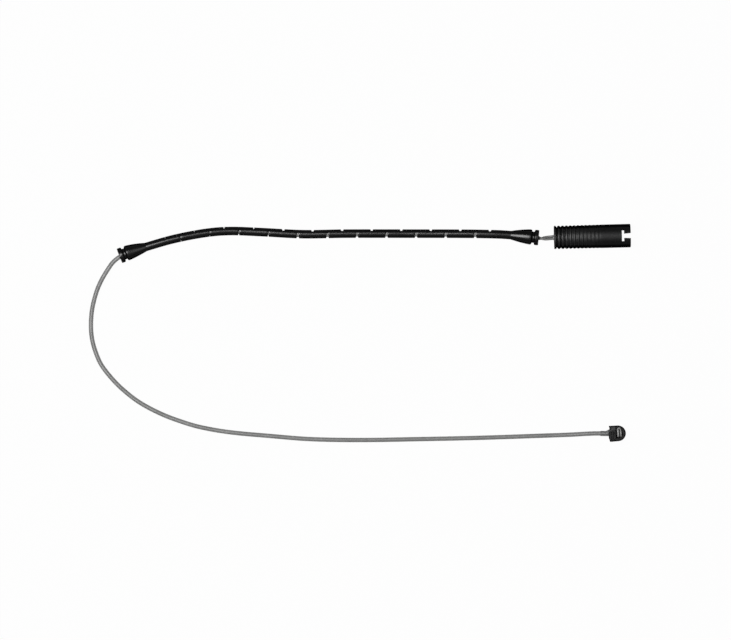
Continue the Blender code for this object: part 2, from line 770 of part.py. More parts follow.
loop_knots += [
    (loop_front, loop_tip - LOOP_SPAN / 2, loop_height),
    (loop_front, leg_y + 0.0012, loop_height),
    (loop_front, leg_y + 0.0004, loop_height - 0.0003),
    (loop_front, leg_y, chamber_top),
    (loop_front - 0.0002, leg_y + 0.0003, chamber_low + 0.0002),
    (0.5 * (loop_rear + loop_front), 0.0, chamber_low),
    (0.5 * (strand_start + loop_rear), strand_y + 0.0001, chamber_low + 0.0003),
    (strand_start, strand_y, HEAD_LEAD_HEIGHT),
]
loop_points = smooth_route([head_to_world @ Vector(knot) for knot in loop_knots], 0.0005)
wear_loop = tube(
    "wear_loop", loop_points, [loop_radius] * len(loop_points), 2, core_plastic
)
shade_round(wear_loop, 60)
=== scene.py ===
import math

import bmesh
import bpy
from mathutils import Matrix, Vector
from mathutils.geometry import interpolate_bezier


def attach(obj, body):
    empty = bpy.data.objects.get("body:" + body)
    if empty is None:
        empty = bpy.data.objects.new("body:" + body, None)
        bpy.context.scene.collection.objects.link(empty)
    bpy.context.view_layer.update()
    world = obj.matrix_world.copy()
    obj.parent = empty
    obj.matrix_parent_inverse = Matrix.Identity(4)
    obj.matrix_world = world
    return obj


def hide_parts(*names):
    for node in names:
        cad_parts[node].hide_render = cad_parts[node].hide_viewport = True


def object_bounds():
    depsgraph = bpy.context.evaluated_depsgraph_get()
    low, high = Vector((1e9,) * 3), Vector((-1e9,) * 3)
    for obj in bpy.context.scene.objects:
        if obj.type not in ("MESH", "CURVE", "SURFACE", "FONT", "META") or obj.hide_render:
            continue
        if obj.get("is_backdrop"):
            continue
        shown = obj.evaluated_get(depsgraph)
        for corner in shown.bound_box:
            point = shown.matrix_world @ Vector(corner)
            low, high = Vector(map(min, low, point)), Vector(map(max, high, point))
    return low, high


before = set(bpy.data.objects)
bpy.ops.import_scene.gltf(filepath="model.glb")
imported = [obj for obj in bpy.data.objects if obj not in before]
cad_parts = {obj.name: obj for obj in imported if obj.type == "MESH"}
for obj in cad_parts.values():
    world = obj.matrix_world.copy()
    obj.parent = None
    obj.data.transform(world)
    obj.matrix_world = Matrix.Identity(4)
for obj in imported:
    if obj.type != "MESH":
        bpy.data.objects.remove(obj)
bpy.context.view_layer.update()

# Camera: a long lens straight above the table. One pixel of the 731 x 640
# picture covers 0.54 mm of the table.
PIXEL = 0.00054
PICTURE_WIDTH = 731
VIEW_CENTRE = (-0.00448, 0.00675)
FOCAL_LENGTH = 500.0
SENSOR_WIDTH = 36.0
MID_HEIGHT = 0.004

bpy.ops.object.select_all(action="DESELECT")
camera_height = MID_HEIGHT + PICTURE_WIDTH * PIXEL * FOCAL_LENGTH / SENSOR_WIDTH
bpy.ops.object.camera_add(location=(*VIEW_CENTRE, camera_height), rotation=(0.0, 0.0, 0.0))
camera = bpy.context.object
camera.data.lens = FOCAL_LENGTH
camera.data.sensor_width = SENSOR_WIDTH
bpy.context.scene.camera = camera
bpy.context.scene.view_settings.view_transform = "Standard"

# Table: a wide pale disc with a low upturned rim, which closes the background
# at eye level. It looks white, and keeps a faint part of the shadow.
TABLE_RADIUS = 12.0
TABLE_SIDES = 96
RIM_HEIGHT = 0.9
TABLE_COLOUR = (0.55, 0.55, 0.55, 1.0)
TABLE_WHITE_SHARE = 0.97

bpy.ops.object.select_all(action="DESELECT")
bpy.ops.mesh.primitive_circle_add(vertices=TABLE_SIDES, radius=TABLE_RADIUS, fill_type="NGON")
table = bpy.context.object
table.name = "table"
bpy.ops.object.mode_set(mode="EDIT")
bpy.ops.mesh.select_mode(type="EDGE")
bpy.ops.mesh.select_all(action="SELECT")
bpy.ops.mesh.region_to_loop()
bpy.ops.mesh.extrude_edges_move(TRANSFORM_OT_translate={"value": (0.0, 0.0, RIM_HEIGHT)})
bpy.ops.object.mode_set(mode="OBJECT")
table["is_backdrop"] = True

table_finish = bpy.data.materials.new("table_paper")
table_finish.use_nodes = True
nodes, links = table_finish.node_tree.nodes, table_finish.node_tree.links
nodes.clear()
rays = nodes.new("ShaderNodeLightPath")
seen = nodes.new("ShaderNodeMath")
seen.operation = "ADD"
links.new(rays.outputs["Is Camera Ray"], seen.inputs[0])
links.new(rays.outputs["Is Glossy Ray"], seen.inputs[1])
seen_too = nodes.new("ShaderNodeMath")
seen_too.operation = "ADD"
seen_too.use_clamp = True
links.new(seen.outputs["Value"], seen_too.inputs[0])
links.new(rays.outputs["Is Transmission Ray"], seen_too.inputs[1])
white_share = nodes.new("ShaderNodeMath")
white_share.operation = "MULTIPLY"
white_share.inputs[1].default_value = TABLE_WHITE_SHARE
links.new(seen_too.outputs["Value"], white_share.inputs[0])
paper = nodes.new("ShaderNodeBsdfDiffuse")
paper.inputs["Color"].default_value = TABLE_COLOUR
white = nodes.new("ShaderNodeEmission")
white.inputs["Color"].default_value = (1.0, 1.0, 1.0, 1.0)
white.inputs["Strength"].default_value = 1.0
blend = nodes.new("ShaderNodeMixShader")
links.new(white_share.outputs["Value"], blend.inputs["Fac"])
links.new(paper.outputs["BSDF"], blend.inputs[1])
links.new(white.outputs["Emission"], blend.inputs[2])
surface = nodes.new("ShaderNodeOutputMaterial")
links.new(blend.outputs["Shader"], surface.inputs["Surface"])
table.data.materials.append(table_finish)

# Light: a softbox to the left of straight above, a weak one to the right, a wide
# faint fill beside the camera, and a dim grey room.
ROOM_LIGHT = 0.09
room = bpy.data.worlds.new("room")
room.use_nodes = True
room.node_tree.nodes["Background"].inputs["Color"].default_value = (1.0, 1.0, 1.0, 1.0)
room.node_tree.nodes["Background"].inputs["Strength"].default_value = ROOM_LIGHT
bpy.context.scene.world = room


def softbox(name, size, leans, distance, radiance):
    """A light that faces the table's middle.

    size is its width along Y and along X, and leans are degrees from straight up, to +X and +Y.
    """
    away = Vector((math.tan(math.radians(leans[0])), math.tan(math.radians(leans[1])), 1.0))
    place = away.normalized() * distance
    bpy.ops.object.select_all(action="DESELECT")
    bpy.ops.object.light_add(type="AREA", location=place)
    lamp = bpy.context.object
    lamp.name = name
    lamp.rotation_euler = place.to_track_quat("Z", "Y").to_euler()
    lamp.data.shape = "RECTANGLE"
    lamp.data.size, lamp.data.size_y = size
    lamp.data.energy = radiance * math.pi * size[0] * size[1]
    lamp.visible_camera = False


softbox("key_light", (0.92, 0.64), (-18.0, 4.0), 1.5, 11.5)
softbox("right_light", (0.92, 0.5), (19.0, 4.0), 1.5, 1.5)
softbox("fill_light", (2.4, 2.4), (8.0, -32.0), 2.2, 0.15)

# Lead: the grey jacketed cable that runs through the sleeve, round its turn on
# the table and into the head. Its jacket is extruded plastic, with a satin skin
# and a fine grain.
LEAD_DIAMETER = 0.0024
LEAD_RESOLUTION = 6
LEAD_TABLE_RUN = 0.06
HEAD_LEAD_RISE = 0.022
HEAD_LEAD_HEIGHT = 0.0028
HEAD_PLACE = (0.1273, -0.0547)
HEAD_TURN = math.radians(5)
ENTRY_PLACE = (0.1273, -0.0546)
ENTRY_TURN = math.radians(-1)
BOOT_LENGTH = 0.0049
LEAD_IN_HEAD = 0.0014
LEAD_STEP = 0.0024
LEAD_KNOT_STEP = 0.012  # between its knots inside the sleeve
MOUTH_LEAN = 0.9  # share of its play in the sleeve's mouth
JACKET_INSET = 0.006
SLEEVE_DIAMETER = 0.00465
SLEEVE_MOUTH = 0.0042
COLLAR_DIAMETER = 0.0083
COLLAR_THICKNESS = 0.0022
GROOVE_WIDTH = 0.0012
GROOVE_SLOPE = 0.0002
CONE_LENGTH = 0.0113
SLEEVE_SAG = 0.06
PLAN_STEP = 0.0005
BEZIER_POINTS = 25
FIT = 0.0003

# The sleeve's middle line seen from above, from the plug's side to the turn of the lead
SLEEVE_KNOTS = [
    (0.0890, 0.05117),
    (0.0730, 0.05265),
    (0.0671, 0.0530),
    (0.0519, 0.0533),
    (0.0174, 0.0534),
    (-0.0150, 0.0534),
    (-0.0388, 0.0531),
    (-0.0604, 0.0542),
    (-0.0777, 0.0548),
    (-0.0906, 0.0538),
    (-0.1079, 0.0505),
    (-0.1230, 0.0462),
    (-0.1337, 0.04275),
    (-0.1374, 0.0413),
]

# The lead's middle line seen from above, from the sleeve's far end round to the head
LEAD_KNOTS = [
    (-0.1408, 0.0380),
    (-0.1436, 0.0341),
    (-0.1470, 0.0284),
    (-0.1498, 0.0219),
    (-0.1522, 0.0122),
    (-0.1528, 0.0030),
    (-0.1521, -0.0041),
    (-0.1503, -0.0105),
    (-0.1475, -0.0170),
    (-0.1427, -0.0235),
    (-0.1365, -0.0300),
    (-0.1270, -0.0375),
    (-0.1155, -0.0437),
    (-0.1047, -0.0479),
    (-0.0939, -0.0511),
    (-0.0777, -0.0539),
    (-0.0561, -0.0559),
    (-0.0345, -0.0576),
    (-0.0075, -0.0581),
    (0.0249, -0.0576),
    (0.0573, -0.0569),
    (0.0897, -0.0558),
    (0.1062, -0.0552),
    (0.1170, -0.0546),
]


def smooth_route(knots, step):
    """Points at equal steps along a smooth curve through the knots."""
    knots = [Vector(knot) for knot in knots]
    fine = []
    for i, (here, there) in enumerate(zip(knots, knots[1:])):
        before = knots[max(i - 1, 0)]
        after = knots[min(i + 2, len(knots) - 1)]
        reach = (there - here).length / 3
        fine += interpolate_bezier(
            here,
            here + (there - before).normalized() * reach,
            there - (after - here).normalized() * reach,
            there,
            BEZIER_POINTS,
        )[:-1]
    fine.append(knots[-1])
    return at_distances(fine, even_steps(route_length(fine), step))


def route_length(points):
    """The length of a polyline."""
    return sum((b - a).length for a, b in zip(points, points[1:]))


def even_steps(length, step):
    """Distances from 0 to length, about a step apart."""
    count = max(round(length / step), 2)
    return [length * i / count for i in range(count + 1)]


def at_distances(points, distances):
    """The points of a polyline at the given distances from its start."""
    found = []
    walked = 0.0
    i = 0
    for distance in distances:
        while i < len(points) - 2 and walked + (points[i + 1] - points[i]).length < distance:
            walked += (points[i + 1] - points[i]).length
            i += 1
        stretch = points[i + 1] - points[i]
        found.append(points[i] + stretch * ((distance - walked) / stretch.length))
    return found


def eased(share):
    """0 to 1 with a level start and finish."""
    share = min(max(share, 0.0), 1.0)
    return share * share * (3.0 - 2.0 * share)


sleeve_plan = smooth_route([(x, y, 0.0) for x, y in SLEEVE_KNOTS], PLAN_STEP)
sleeve_length = route_length(sleeve_plan)
collar_height = COLLAR_DIAMETER / 2
tube_height = SLEEVE_DIAMETER / 2
cone_start = COLLAR_THICKNESS + GROOVE_WIDTH + 2 * GROOVE_SLOPE
cone_end = cone_start + CONE_LENGTH


def sleeve_height(distance):
    """The height of the sleeve's middle line, which sags to the table between its collars."""
    from_end = min(distance, sleeve_length - distance)
    return collar_height + (tube_height - collar_height) * eased(
        (from_end - cone_end) / SLEEVE_SAG
    )


def on_sleeve(distance):
    """The point on the sleeve's middle line at a distance from its plug-side face."""
    if distance < 0.0:
        point = sleeve_plan[0] + (sleeve_plan[1] - sleeve_plan[0]).normalized() * distance
    elif distance > sleeve_length:
        past = distance - sleeve_length
        point = sleeve_plan[-1] + (sleeve_plan[-1] - sleeve_plan[-2]).normalized() * past
    else:
        point = at_distances(sleeve_plan, [distance])[0]
    return Vector((point.x, point.y, sleeve_height(distance)))


def select_only(piece):
    """Selects this piece alone and makes it the active one."""
    bpy.ops.object.select_all(action="DESELECT")
    piece.select_set(True)
    bpy.context.view_layer.objects.active = piece


def round_bar(name, points, diameter, resolution):
    """A round bar along the points, closed at both ends, with a map that runs along it."""
    path = bpy.data.curves.new(name, "CURVE")
    path.dimensions = "3D"
    path.bevel_depth = diameter / 2
    path.bevel_resolution = resolution
    path.use_fill_caps = True
    spline = path.splines.new("POLY")
    spline.points.add(len(points) - 1)
    for knot, point in zip(spline.points, points):
        knot.co = (*point, 1.0)
    bar = bpy.data.objects.new(name, path)
    bpy.context.scene.collection.objects.link(bar)
    select_only(bar)
    bpy.ops.object.convert(target="MESH")
    bar = bpy.context.object
    bpy.ops.object.mode_set(mode="EDIT")
    bpy.ops.mesh.select_all(action="SELECT")
    bpy.ops.mesh.remove_doubles(threshold=0.000002)
    bpy.ops.mesh.normals_make_consistent(inside=False)
    bpy.ops.object.mode_set(mode="OBJECT")
    bpy.ops.object.shade_smooth_by_angle(angle=math.radians(50))
    return bar


entry_to_world = Matrix.Translation((*ENTRY_PLACE, 0.0)) @ Matrix.Rotation(ENTRY_TURN, 4, "Z")
lead_radius = LEAD_DIAMETER / 2
inner_length = sleeve_length - JACKET_INSET - COLLAR_THICKNESS - GROOVE_WIDTH
lead_knots = [
    on_sleeve(JACKET_INSET + distance) for distance in even_steps(inner_length, LEAD_KNOT_STEP)
]
# it leaves the mouth low and towards the inside of its turn
mouth_play = SLEEVE_MOUTH / 2 - lead_radius - FIT
lead_knots.append(on_sleeve(sleeve_length) + Vector((0.0, -MOUTH_LEAN * mouth_play, 0.0)))
lead_knots += [Vector((x, y, 0.0)) for x, y in LEAD_KNOTS]
for before_head in (BOOT_LENGTH, 0.0, -LEAD_IN_HEAD):
    lead_knots.append(entry_to_world @ Vector((-before_head, 0.0, 0.0)))
lead_plan = smooth_route([(knot.x, knot.y, 0.0) for knot in lead_knots], LEAD_STEP)
lead_steps = even_steps(route_length(lead_plan), LEAD_STEP)
lead_points = []
for point, distance in zip(lead_plan, lead_steps):
    past_sleeve = distance + JACKET_INSET - sleeve_length
    before_boot = lead_steps[-1] - LEAD_IN_HEAD - BOOT_LENGTH - distance
    if past_sleeve < 0.0:
        height = sleeve_height(distance + JACKET_INSET)
    else:
        height = collar_height + (lead_radius - collar_height) * eased(
            past_sleeve / LEAD_TABLE_RUN
        )
    height += (HEAD_LEAD_HEIGHT - lead_radius) * eased(1.0 - before_boot / HEAD_LEAD_RISE)
    lead_points.append(Vector((point.x, point.y, height)))
lead = round_bar("grey_lead", lead_points, LEAD_DIAMETER, LEAD_RESOLUTION)
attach(lead, "root")
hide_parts("sensor_lead")


def noise(nodes, place, size, detail=3.0):
    """A noise pattern whose features are about that size, in metres."""
    pattern = nodes.new("ShaderNodeTexNoise")
    pattern.inputs["Scale"].default_value = 1.0 / size
    pattern.inputs["Detail"].default_value = detail
    nodes.id_data.links.new(place, pattern.inputs["Vector"])
    return pattern.outputs["Fac"]


def ranged(nodes, value, low, high, start=0.3, end=0.7):
    """value between start and end, as a number between low and high."""
    spread = nodes.new("ShaderNodeMapRange")
    spread.inputs["From Min"].default_value = start
    spread.inputs["From Max"].default_value = end
    spread.inputs["To Min"].default_value = low
    spread.inputs["To Max"].default_value = high
    nodes.id_data.links.new(value, spread.inputs["Value"])
    return spread.outputs["Result"]


def tinted(nodes, share, first, second):
    """A colour between two colours."""
    mix = nodes.new("ShaderNodeMix")
    mix.data_type = "RGBA"
    mix.inputs["A"].default_value = (*first, 1.0)
    mix.inputs["B"].default_value = (*second, 1.0)
    nodes.id_data.links.new(share, mix.inputs["Factor"])
    return mix.outputs["Result"]


def raised(nodes, height, depth, under=None):
    """A bump of that depth in metres, over another one if it is given."""
    bump = nodes.new("ShaderNodeBump")
    bump.inputs["Distance"].default_value = depth
    nodes.id_data.links.new(height, bump.inputs["Height"])
    if under is not None:
        nodes.id_data.links.new(under, bump.inputs["Normal"])
    return bump.outputs["Normal"]


def moulded(name, dark, pale, roughness, patch, grain, swell):
    """A moulded or drawn skin: patches of two shades and of gloss, fine grain, slow unevenness.

    patch is the size of a patch, grain the size and depth of the grain, and swell
    the depth of the unevenness, in metres.
    """
    finish = bpy.data.materials.new(name)
    finish.use_nodes = True
    nodes, links = finish.node_tree.nodes, finish.node_tree.links
    shader = nodes["Principled BSDF"]
    place = nodes.new("ShaderNodeTexCoord").outputs["Object"]
    shade = ranged(nodes, noise(nodes, place, patch), 0.0, 1.0)
    links.new(tinted(nodes, shade, dark, pale), shader.inputs["Base Color"])
    gloss = ranged(nodes, noise(nodes, place, 0.4 * patch), *roughness)
    links.new(gloss, shader.inputs["Roughness"])
    fine = raised(nodes, noise(nodes, place, grain[0], 2.0), grain[1])
    skin = raised(nodes, noise(nodes, place, 0.8 * patch, 1.0), swell, fine)
    links.new(skin, shader.inputs["Normal"])
    return finish


def dress(piece, finish):
    """Gives the piece this finish alone."""
    piece.data.materials.clear()
    piece.data.materials.append(finish)


JACKET_GREY = (0.17, 0.17, 0.168)
JACKET_PALE = (0.215, 0.215, 0.212)
jacket = moulded(
    "lead_jacket",
    JACKET_GREY,
    JACKET_PALE,
    roughness=(0.30, 0.42),
    patch=0.005,
    grain=(0.00025, 0.00001),
    swell=0.00006,
)
dress(lead, jacket)

# Sleeve: one moulded rubber piece round the lead, with a cone, a groove and a
# collar at each end. V slots are cut into it from either side in turn, so that
# it bends. It is modelled straight and then bent along the lead's route.
SLEEVE_BORE = 0.0032
SLEEVE_MOUTH_DEPTH = 0.006
GROOVE_DIAMETER = 0.0060
SLEEVE_SIDES = 48
SLEEVE_MOUTH_ROUNDING = 0.0002
SLEEVE_STATION_STEP = 0.002
FACE_ROUNDING = 0.00035
COLLAR_ROUNDING = 0.0005
GROOVE_ROUNDING = 0.00028
CONE_ROUNDING = 0.00068
CONE_SHARES = (0.12, 0.25, 0.4, 0.55, 0.7, 0.85)
CONE_SWELL = 1.5
CONE_FOOT = 0.0003
CONE_FOOT_RISE = 0.00007
SLOT_COUNT = 23
SLOT_PITCH = 0.00798
SLOT_STRETCHES = ((0, 14, 1.0), (15, 18, 0.4), (19, 22, 0.13))  # first, last, share of the width
SLOT_INNER_WIDTH = 0.0009
SLOT_OUTER_WIDTH = 0.0019
SLOT_FLOOR = 0.00035
SLOT_ROLL = math.radians(-33)
SLOT_EDGE = 0.00005
SLOT_RINGS = (-0.0039, -0.0030, -0.0021, -0.00125, 0.00125, 0.0021, 0.0030)
END_RING_STEP = 0.0012
CUT_PAST = 0.001  # how far a cutter runs past a face that it opens
SAME_PLACE = 1e-7
MERGE_WITHIN = 0.00003
SHARP_ANGLE = math.radians(40)
SMOOTH_ANGLE = math.radians(35)


def edit(piece, select="VERT"):
    """Into edit mode on this piece alone, with nothing selected."""
    select_only(piece)
    bpy.ops.object.mode_set(mode="EDIT")
    bpy.ops.mesh.select_mode(type=select)
    bpy.ops.mesh.select_all(action="DESELECT")
    return bmesh.from_edit_mesh(piece.data)


def pick(piece, wanted):
    """Selects the vertices of the edited piece for which wanted(co) is true."""
    shape = bmesh.from_edit_mesh(piece.data)
    for vertex in shape.verts:
        vertex.select_set(bool(wanted(vertex.co)))
    shape.select_flush_mode()
    bmesh.update_edit_mesh(piece.data)


def turned(name, profile, sides, phase=0.0, closed=True):
    """A shape turned about the X axis, from (distance, radius, rounding) corners.

    The profile runs down its outer side and back along its inner one.
    """
    bpy.ops.object.select_all(action="DESELECT")
    bpy.ops.mesh.primitive_plane_add(size=0.001)
    piece = bpy.context.object
    piece.name = piece.data.name = name
    edit(piece)
    bpy.ops.mesh.select_all(action="SELECT")
    bpy.ops.mesh.merge(type="CENTER")
    corners = [Vector((distance, 0.0, radius)) for distance, radius, _ in profile]
    bpy.ops.transform.translate(value=corners[0])
    for before, after in zip(corners, corners[1:]):
        bpy.ops.mesh.extrude_vertices_move(TRANSFORM_OT_translate={"value": after - before})
    if closed:
        ends = (corners[0], corners[-1])
        pick(piece, lambda co: any((co - end).length < SAME_PLACE for end in ends))
        bpy.ops.mesh.edge_face_add()
    for rounding in sorted({corner[2] for corner in profile if corner[2]}, reverse=True):
        spots = [c for c, corner in zip(corners, profile) if corner[2] == rounding]
        pick(piece, lambda co: any((co - spot).length < SAME_PLACE for spot in spots))
        bpy.ops.mesh.bevel(offset=rounding, segments=3, affect="VERTICES")
    bpy.ops.mesh.select_all(action="SELECT")
    if phase:
        bpy.ops.transform.rotate(
            value=-phase, orient_axis="X", center_override=(0.0, 0.0, 0.0)
        )
    bpy.ops.mesh.spin(
        steps=sides,
        angle=2 * math.pi,
        center=(0.0, 0.0, 0.0),
        axis=(1.0, 0.0, 0.0),
        use_auto_merge=True,
    )
    bpy.ops.mesh.select_all(action="SELECT")
    bpy.ops.mesh.remove_doubles(threshold=0.000001)
    bpy.ops.mesh.normals_make_consistent(inside=False)
    bpy.ops.object.mode_set(mode="OBJECT")
    return piece


def add_modifier(piece, kind, **settings):
    """Adds a modifier with these settings and applies it."""
    select_only(piece)
    bpy.ops.object.modifier_add(type=kind)
    modifier = piece.modifiers[-1]
    for setting, value in settings.items():
        setattr(modifier, setting, value)
    bpy.ops.object.modifier_apply(modifier=modifier.name)


def take_out(piece, cutter):
    """Cuts the cutter's shape out of the piece and removes the cutter."""
    add_modifier(piece, "BOOLEAN", operation="DIFFERENCE", solver="EXACT", object=cutter)
    bpy.data.objects.remove(cutter, do_unlink=True)
    edit(piece)
    bpy.ops.mesh.select_all(action="SELECT")
    bpy.ops.mesh.remove_doubles(threshold=MERGE_WITHIN)
    bpy.ops.object.mode_set(mode="OBJECT")


def soften(piece, width):
    """Small roundings on all sharp edges, and smooth shading between them."""
    add_modifier(
        piece, "BEVEL", width=width, segments=2, limit_method="ANGLE", angle_limit=SHARP_ANGLE
    )
    select_only(piece)
    bpy.ops.object.shade_smooth_by_angle(angle=SMOOTH_ANGLE)
    add_modifier(piece, "WEIGHTED_NORMAL", keep_sharp=True, weight=50)


slot_margin = (sleeve_length - (SLOT_COUNT - 1) * SLOT_PITCH) / 2
slot_places = [slot_margin + slot * SLOT_PITCH for slot in range(SLOT_COUNT)]
first_ring, last_ring = slot_places[0] + SLOT_RINGS[0], slot_places[-1] - SLOT_RINGS[0]
end_steps = even_steps(first_ring - cone_end, END_RING_STEP)
end_rings = [cone_end + d for d in end_steps[1:-1]]
middle_rings = [place + ring for place in slot_places for ring in SLOT_RINGS] + [last_ring]
outer_end = [
    (0.0, COLLAR_DIAMETER / 2, FACE_ROUNDING),
    (COLLAR_THICKNESS, COLLAR_DIAMETER / 2, COLLAR_ROUNDING),
    (COLLAR_THICKNESS + GROOVE_SLOPE, GROOVE_DIAMETER / 2, GROOVE_ROUNDING),
    (COLLAR_THICKNESS + GROOVE_SLOPE + GROOVE_WIDTH, GROOVE_DIAMETER / 2, GROOVE_ROUNDING),
    (cone_start, COLLAR_DIAMETER / 2, CONE_ROUNDING),
]
for share in CONE_SHARES:
    radius = COLLAR_DIAMETER / 2 + (SLEEVE_DIAMETER - COLLAR_DIAMETER) / 2 * share ** CONE_SWELL
    outer_end.append((cone_start + share * CONE_LENGTH, radius, 0.0))
outer_end.append((cone_end - CONE_FOOT, SLEEVE_DIAMETER / 2 + CONE_FOOT_RISE, 0.0))
outer_end.append((cone_end, SLEEVE_DIAMETER / 2, 0.0))
outer_end.append((cone_end + CONE_FOOT, SLEEVE_DIAMETER / 2, 0.0))
outer_side = outer_end + [(d, SLEEVE_DIAMETER / 2, 0.0) for d in end_rings + middle_rings]
outer_side += [
    (sleeve_length - d, r, rounding)
    for d, r, rounding in reversed(outer_end + [(d, SLEEVE_DIAMETER / 2, 0.0) for d in end_rings])
]
inner_end = [
    (0.0, SLEEVE_MOUTH / 2, SLEEVE_MOUTH_ROUNDING),
    (COLLAR_THICKNESS, SLEEVE_MOUTH / 2, 0.0),
    (0.5 * (COLLAR_THICKNESS + SLEEVE_MOUTH_DEPTH), (SLEEVE_MOUTH + SLEEVE_BORE) / 4, 0.0),
    (SLEEVE_MOUTH_DEPTH, SLEEVE_BORE / 2, 0.0),
    *[
        (SLEEVE_MOUTH_DEPTH + d, SLEEVE_BORE / 2, 0.0)
        for d in even_steps(cone_end - SLEEVE_MOUTH_DEPTH, 2 * END_RING_STEP)[1:]
    ],
    *[(d, SLEEVE_BORE / 2, 0.0) for d in end_rings],
]
inner_side = inner_end + [(d, SLEEVE_BORE / 2, 0.0) for d in middle_rings]
inner_side += [(sleeve_length - d, r, rounding) for d, r, rounding in reversed(inner_end)]
sleeve = turned(
    "slotted_sleeve",
    outer_side + inner_side[::-1],
    SLEEVE_SIDES,
    phase=SLOT_ROLL + math.pi / SLEEVE_SIDES,
)

# One wedge for each side, then copies of it two pitches apart. Towards the wheel
# the slots have closed up.
SLOT_TOP = SLEEVE_DIAMETER / 2 + CUT_PAST
slot_flare = SLOT_OUTER_WIDTH + (SLOT_OUTER_WIDTH - SLOT_INNER_WIDTH) * (
    SLOT_TOP - SLEEVE_DIAMETER / 2
) / (SLEEVE_DIAMETER / 2 - SLOT_FLOOR)
for first, last, share in SLOT_STRETCHES:
    for slot in (first, first + 1):
        bpy.ops.object.select_all(action="DESELECT")
        bpy.ops.mesh.primitive_cube_add(size=1.0)
        wedge = bpy.context.object
        wedge.name = "slot_wedge"
        edit(wedge)
        bpy.ops.mesh.select_all(action="SELECT")
        bpy.ops.transform.resize(
            value=(share * SLOT_INNER_WIDTH, SLOT_TOP - SLOT_FLOOR, 2 * SLOT_TOP)
        )
        bpy.ops.transform.translate(value=(0.0, (SLOT_TOP + SLOT_FLOOR) / 2, 0.0))
        pick(wedge, lambda co: co.y > (SLOT_TOP + SLOT_FLOOR) / 2)
        bpy.ops.transform.resize(
            value=(slot_flare / SLOT_INNER_WIDTH, 1.0, 1.0), center_override=(0.0, 0.0, 0.0)
        )
        bpy.ops.object.mode_set(mode="OBJECT")
        # bent along the route, the straight sleeve's +Y comes to face -Y
        wedge.rotation_euler = (math.pi - SLOT_ROLL + math.pi * (slot % 2), 0.0, 0.0)
        wedge.location = (slot_places[slot], 0.0, 0.0)
        select_only(wedge)
        bpy.ops.object.transform_apply(location=True, rotation=True, scale=True)
        add_modifier(
            wedge,
            "ARRAY",
            count=(last - slot) // 2 + 1,
            use_relative_offset=False,
            use_constant_offset=True,
            constant_offset_displace=(2 * SLOT_PITCH, 0.0, 0.0),
        )
        take_out(sleeve, wedge)
soften(sleeve, SLOT_EDGE)

route = bpy.data.curves.new("sleeve_route", "CURVE")
route.dimensions = "3D"
route.twist_mode = "Z_UP"
run = route.splines.new("POLY")
stations = even_steps(sleeve_length, SLEEVE_STATION_STEP)
run.points.add(len(stations) - 1)
for knot, distance in zip(run.points, stations):
    knot.co = (*on_sleeve(distance), 1.0)
route_line = bpy.data.objects.new("sleeve_route", route)
bpy.context.scene.collection.objects.link(route_line)
bpy.context.view_layer.update()
add_modifier(sleeve, "CURVE", object=route_line, deform_axis="POS_X")
bpy.data.objects.remove(route_line, do_unlink=True)
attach(sleeve, "root")
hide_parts("protective_sleeve")

RUBBER_BLACK = (0.0015, 0.0015, 0.0016)
RUBBER_WORN = (0.004, 0.004, 0.0041)
RUBBER_GLOSS = 0.42
MATT_FADE = (0.04, 0.36)  # how far the skin turns away


def matt_edge(finish, level):
    """Gloss that fades where the skin turns away, as on a matt skin.

    level is a number or another node's output.
    """
    nodes, links = finish.node_tree.nodes, finish.node_tree.links
    facing = nodes.new("ShaderNodeLayerWeight")
    facing.inputs["Blend"].default_value = 0.5
    flat = ranged(nodes, facing.outputs["Facing"], 1.0, 0.0, *MATT_FADE)
    gloss = nodes.new("ShaderNodeMath")
    gloss.operation = "MULTIPLY"
    links.new(flat, gloss.inputs[0])
    if isinstance(level, float):
        gloss.inputs[1].default_value = level
    else:
        links.new(level, gloss.inputs[1])
    links.new(gloss.outputs["Value"], nodes["Principled BSDF"].inputs["Specular IOR Level"])


rubber = moulded(
    "sleeve_rubber",
    RUBBER_BLACK,
    RUBBER_WORN,
    roughness=(0.23, 0.27),
    patch=0.006,
    grain=(0.0002, 0.000003),
    swell=0.000025,
)
matt_edge(rubber, RUBBER_GLOSS)
dress(sleeve, rubber)

# Cores: the two insulated copper wires of the lead, bare of its jacket from inside
# the sleeve on. They cross once on their way to the plug and end in its pins.
CORE_DIAMETER = 0.00126
CORE_STEP = 0.0004
CORE_RESOLUTION = 4
CORE_GAP = 0.00002
CORE_DROP = (0.0, -0.00018, 0.0)
CORE_CROSSING = (0.0015, -0.00042, 0.0003)
TWIST_START = -0.33
TWIST_END = 0.67
SPREAD_RUN = 0.0008
PLUG_PLACE = (0.0973, 0.0513)
PLUG_TURN = math.radians(1.4)
PLUG_DIAMETER = 0.0127
REAR_WALL = 0.0015
SEAL_LENGTH = 0.0072
PIN_SPACING = 0.0034
PIN_SINK = 0.0004
CRIMP_DEPTH = 0.003
CORE_GREY = (0.105, 0.105, 0.104)
CORE_PALE = (0.14, 0.14, 0.138)

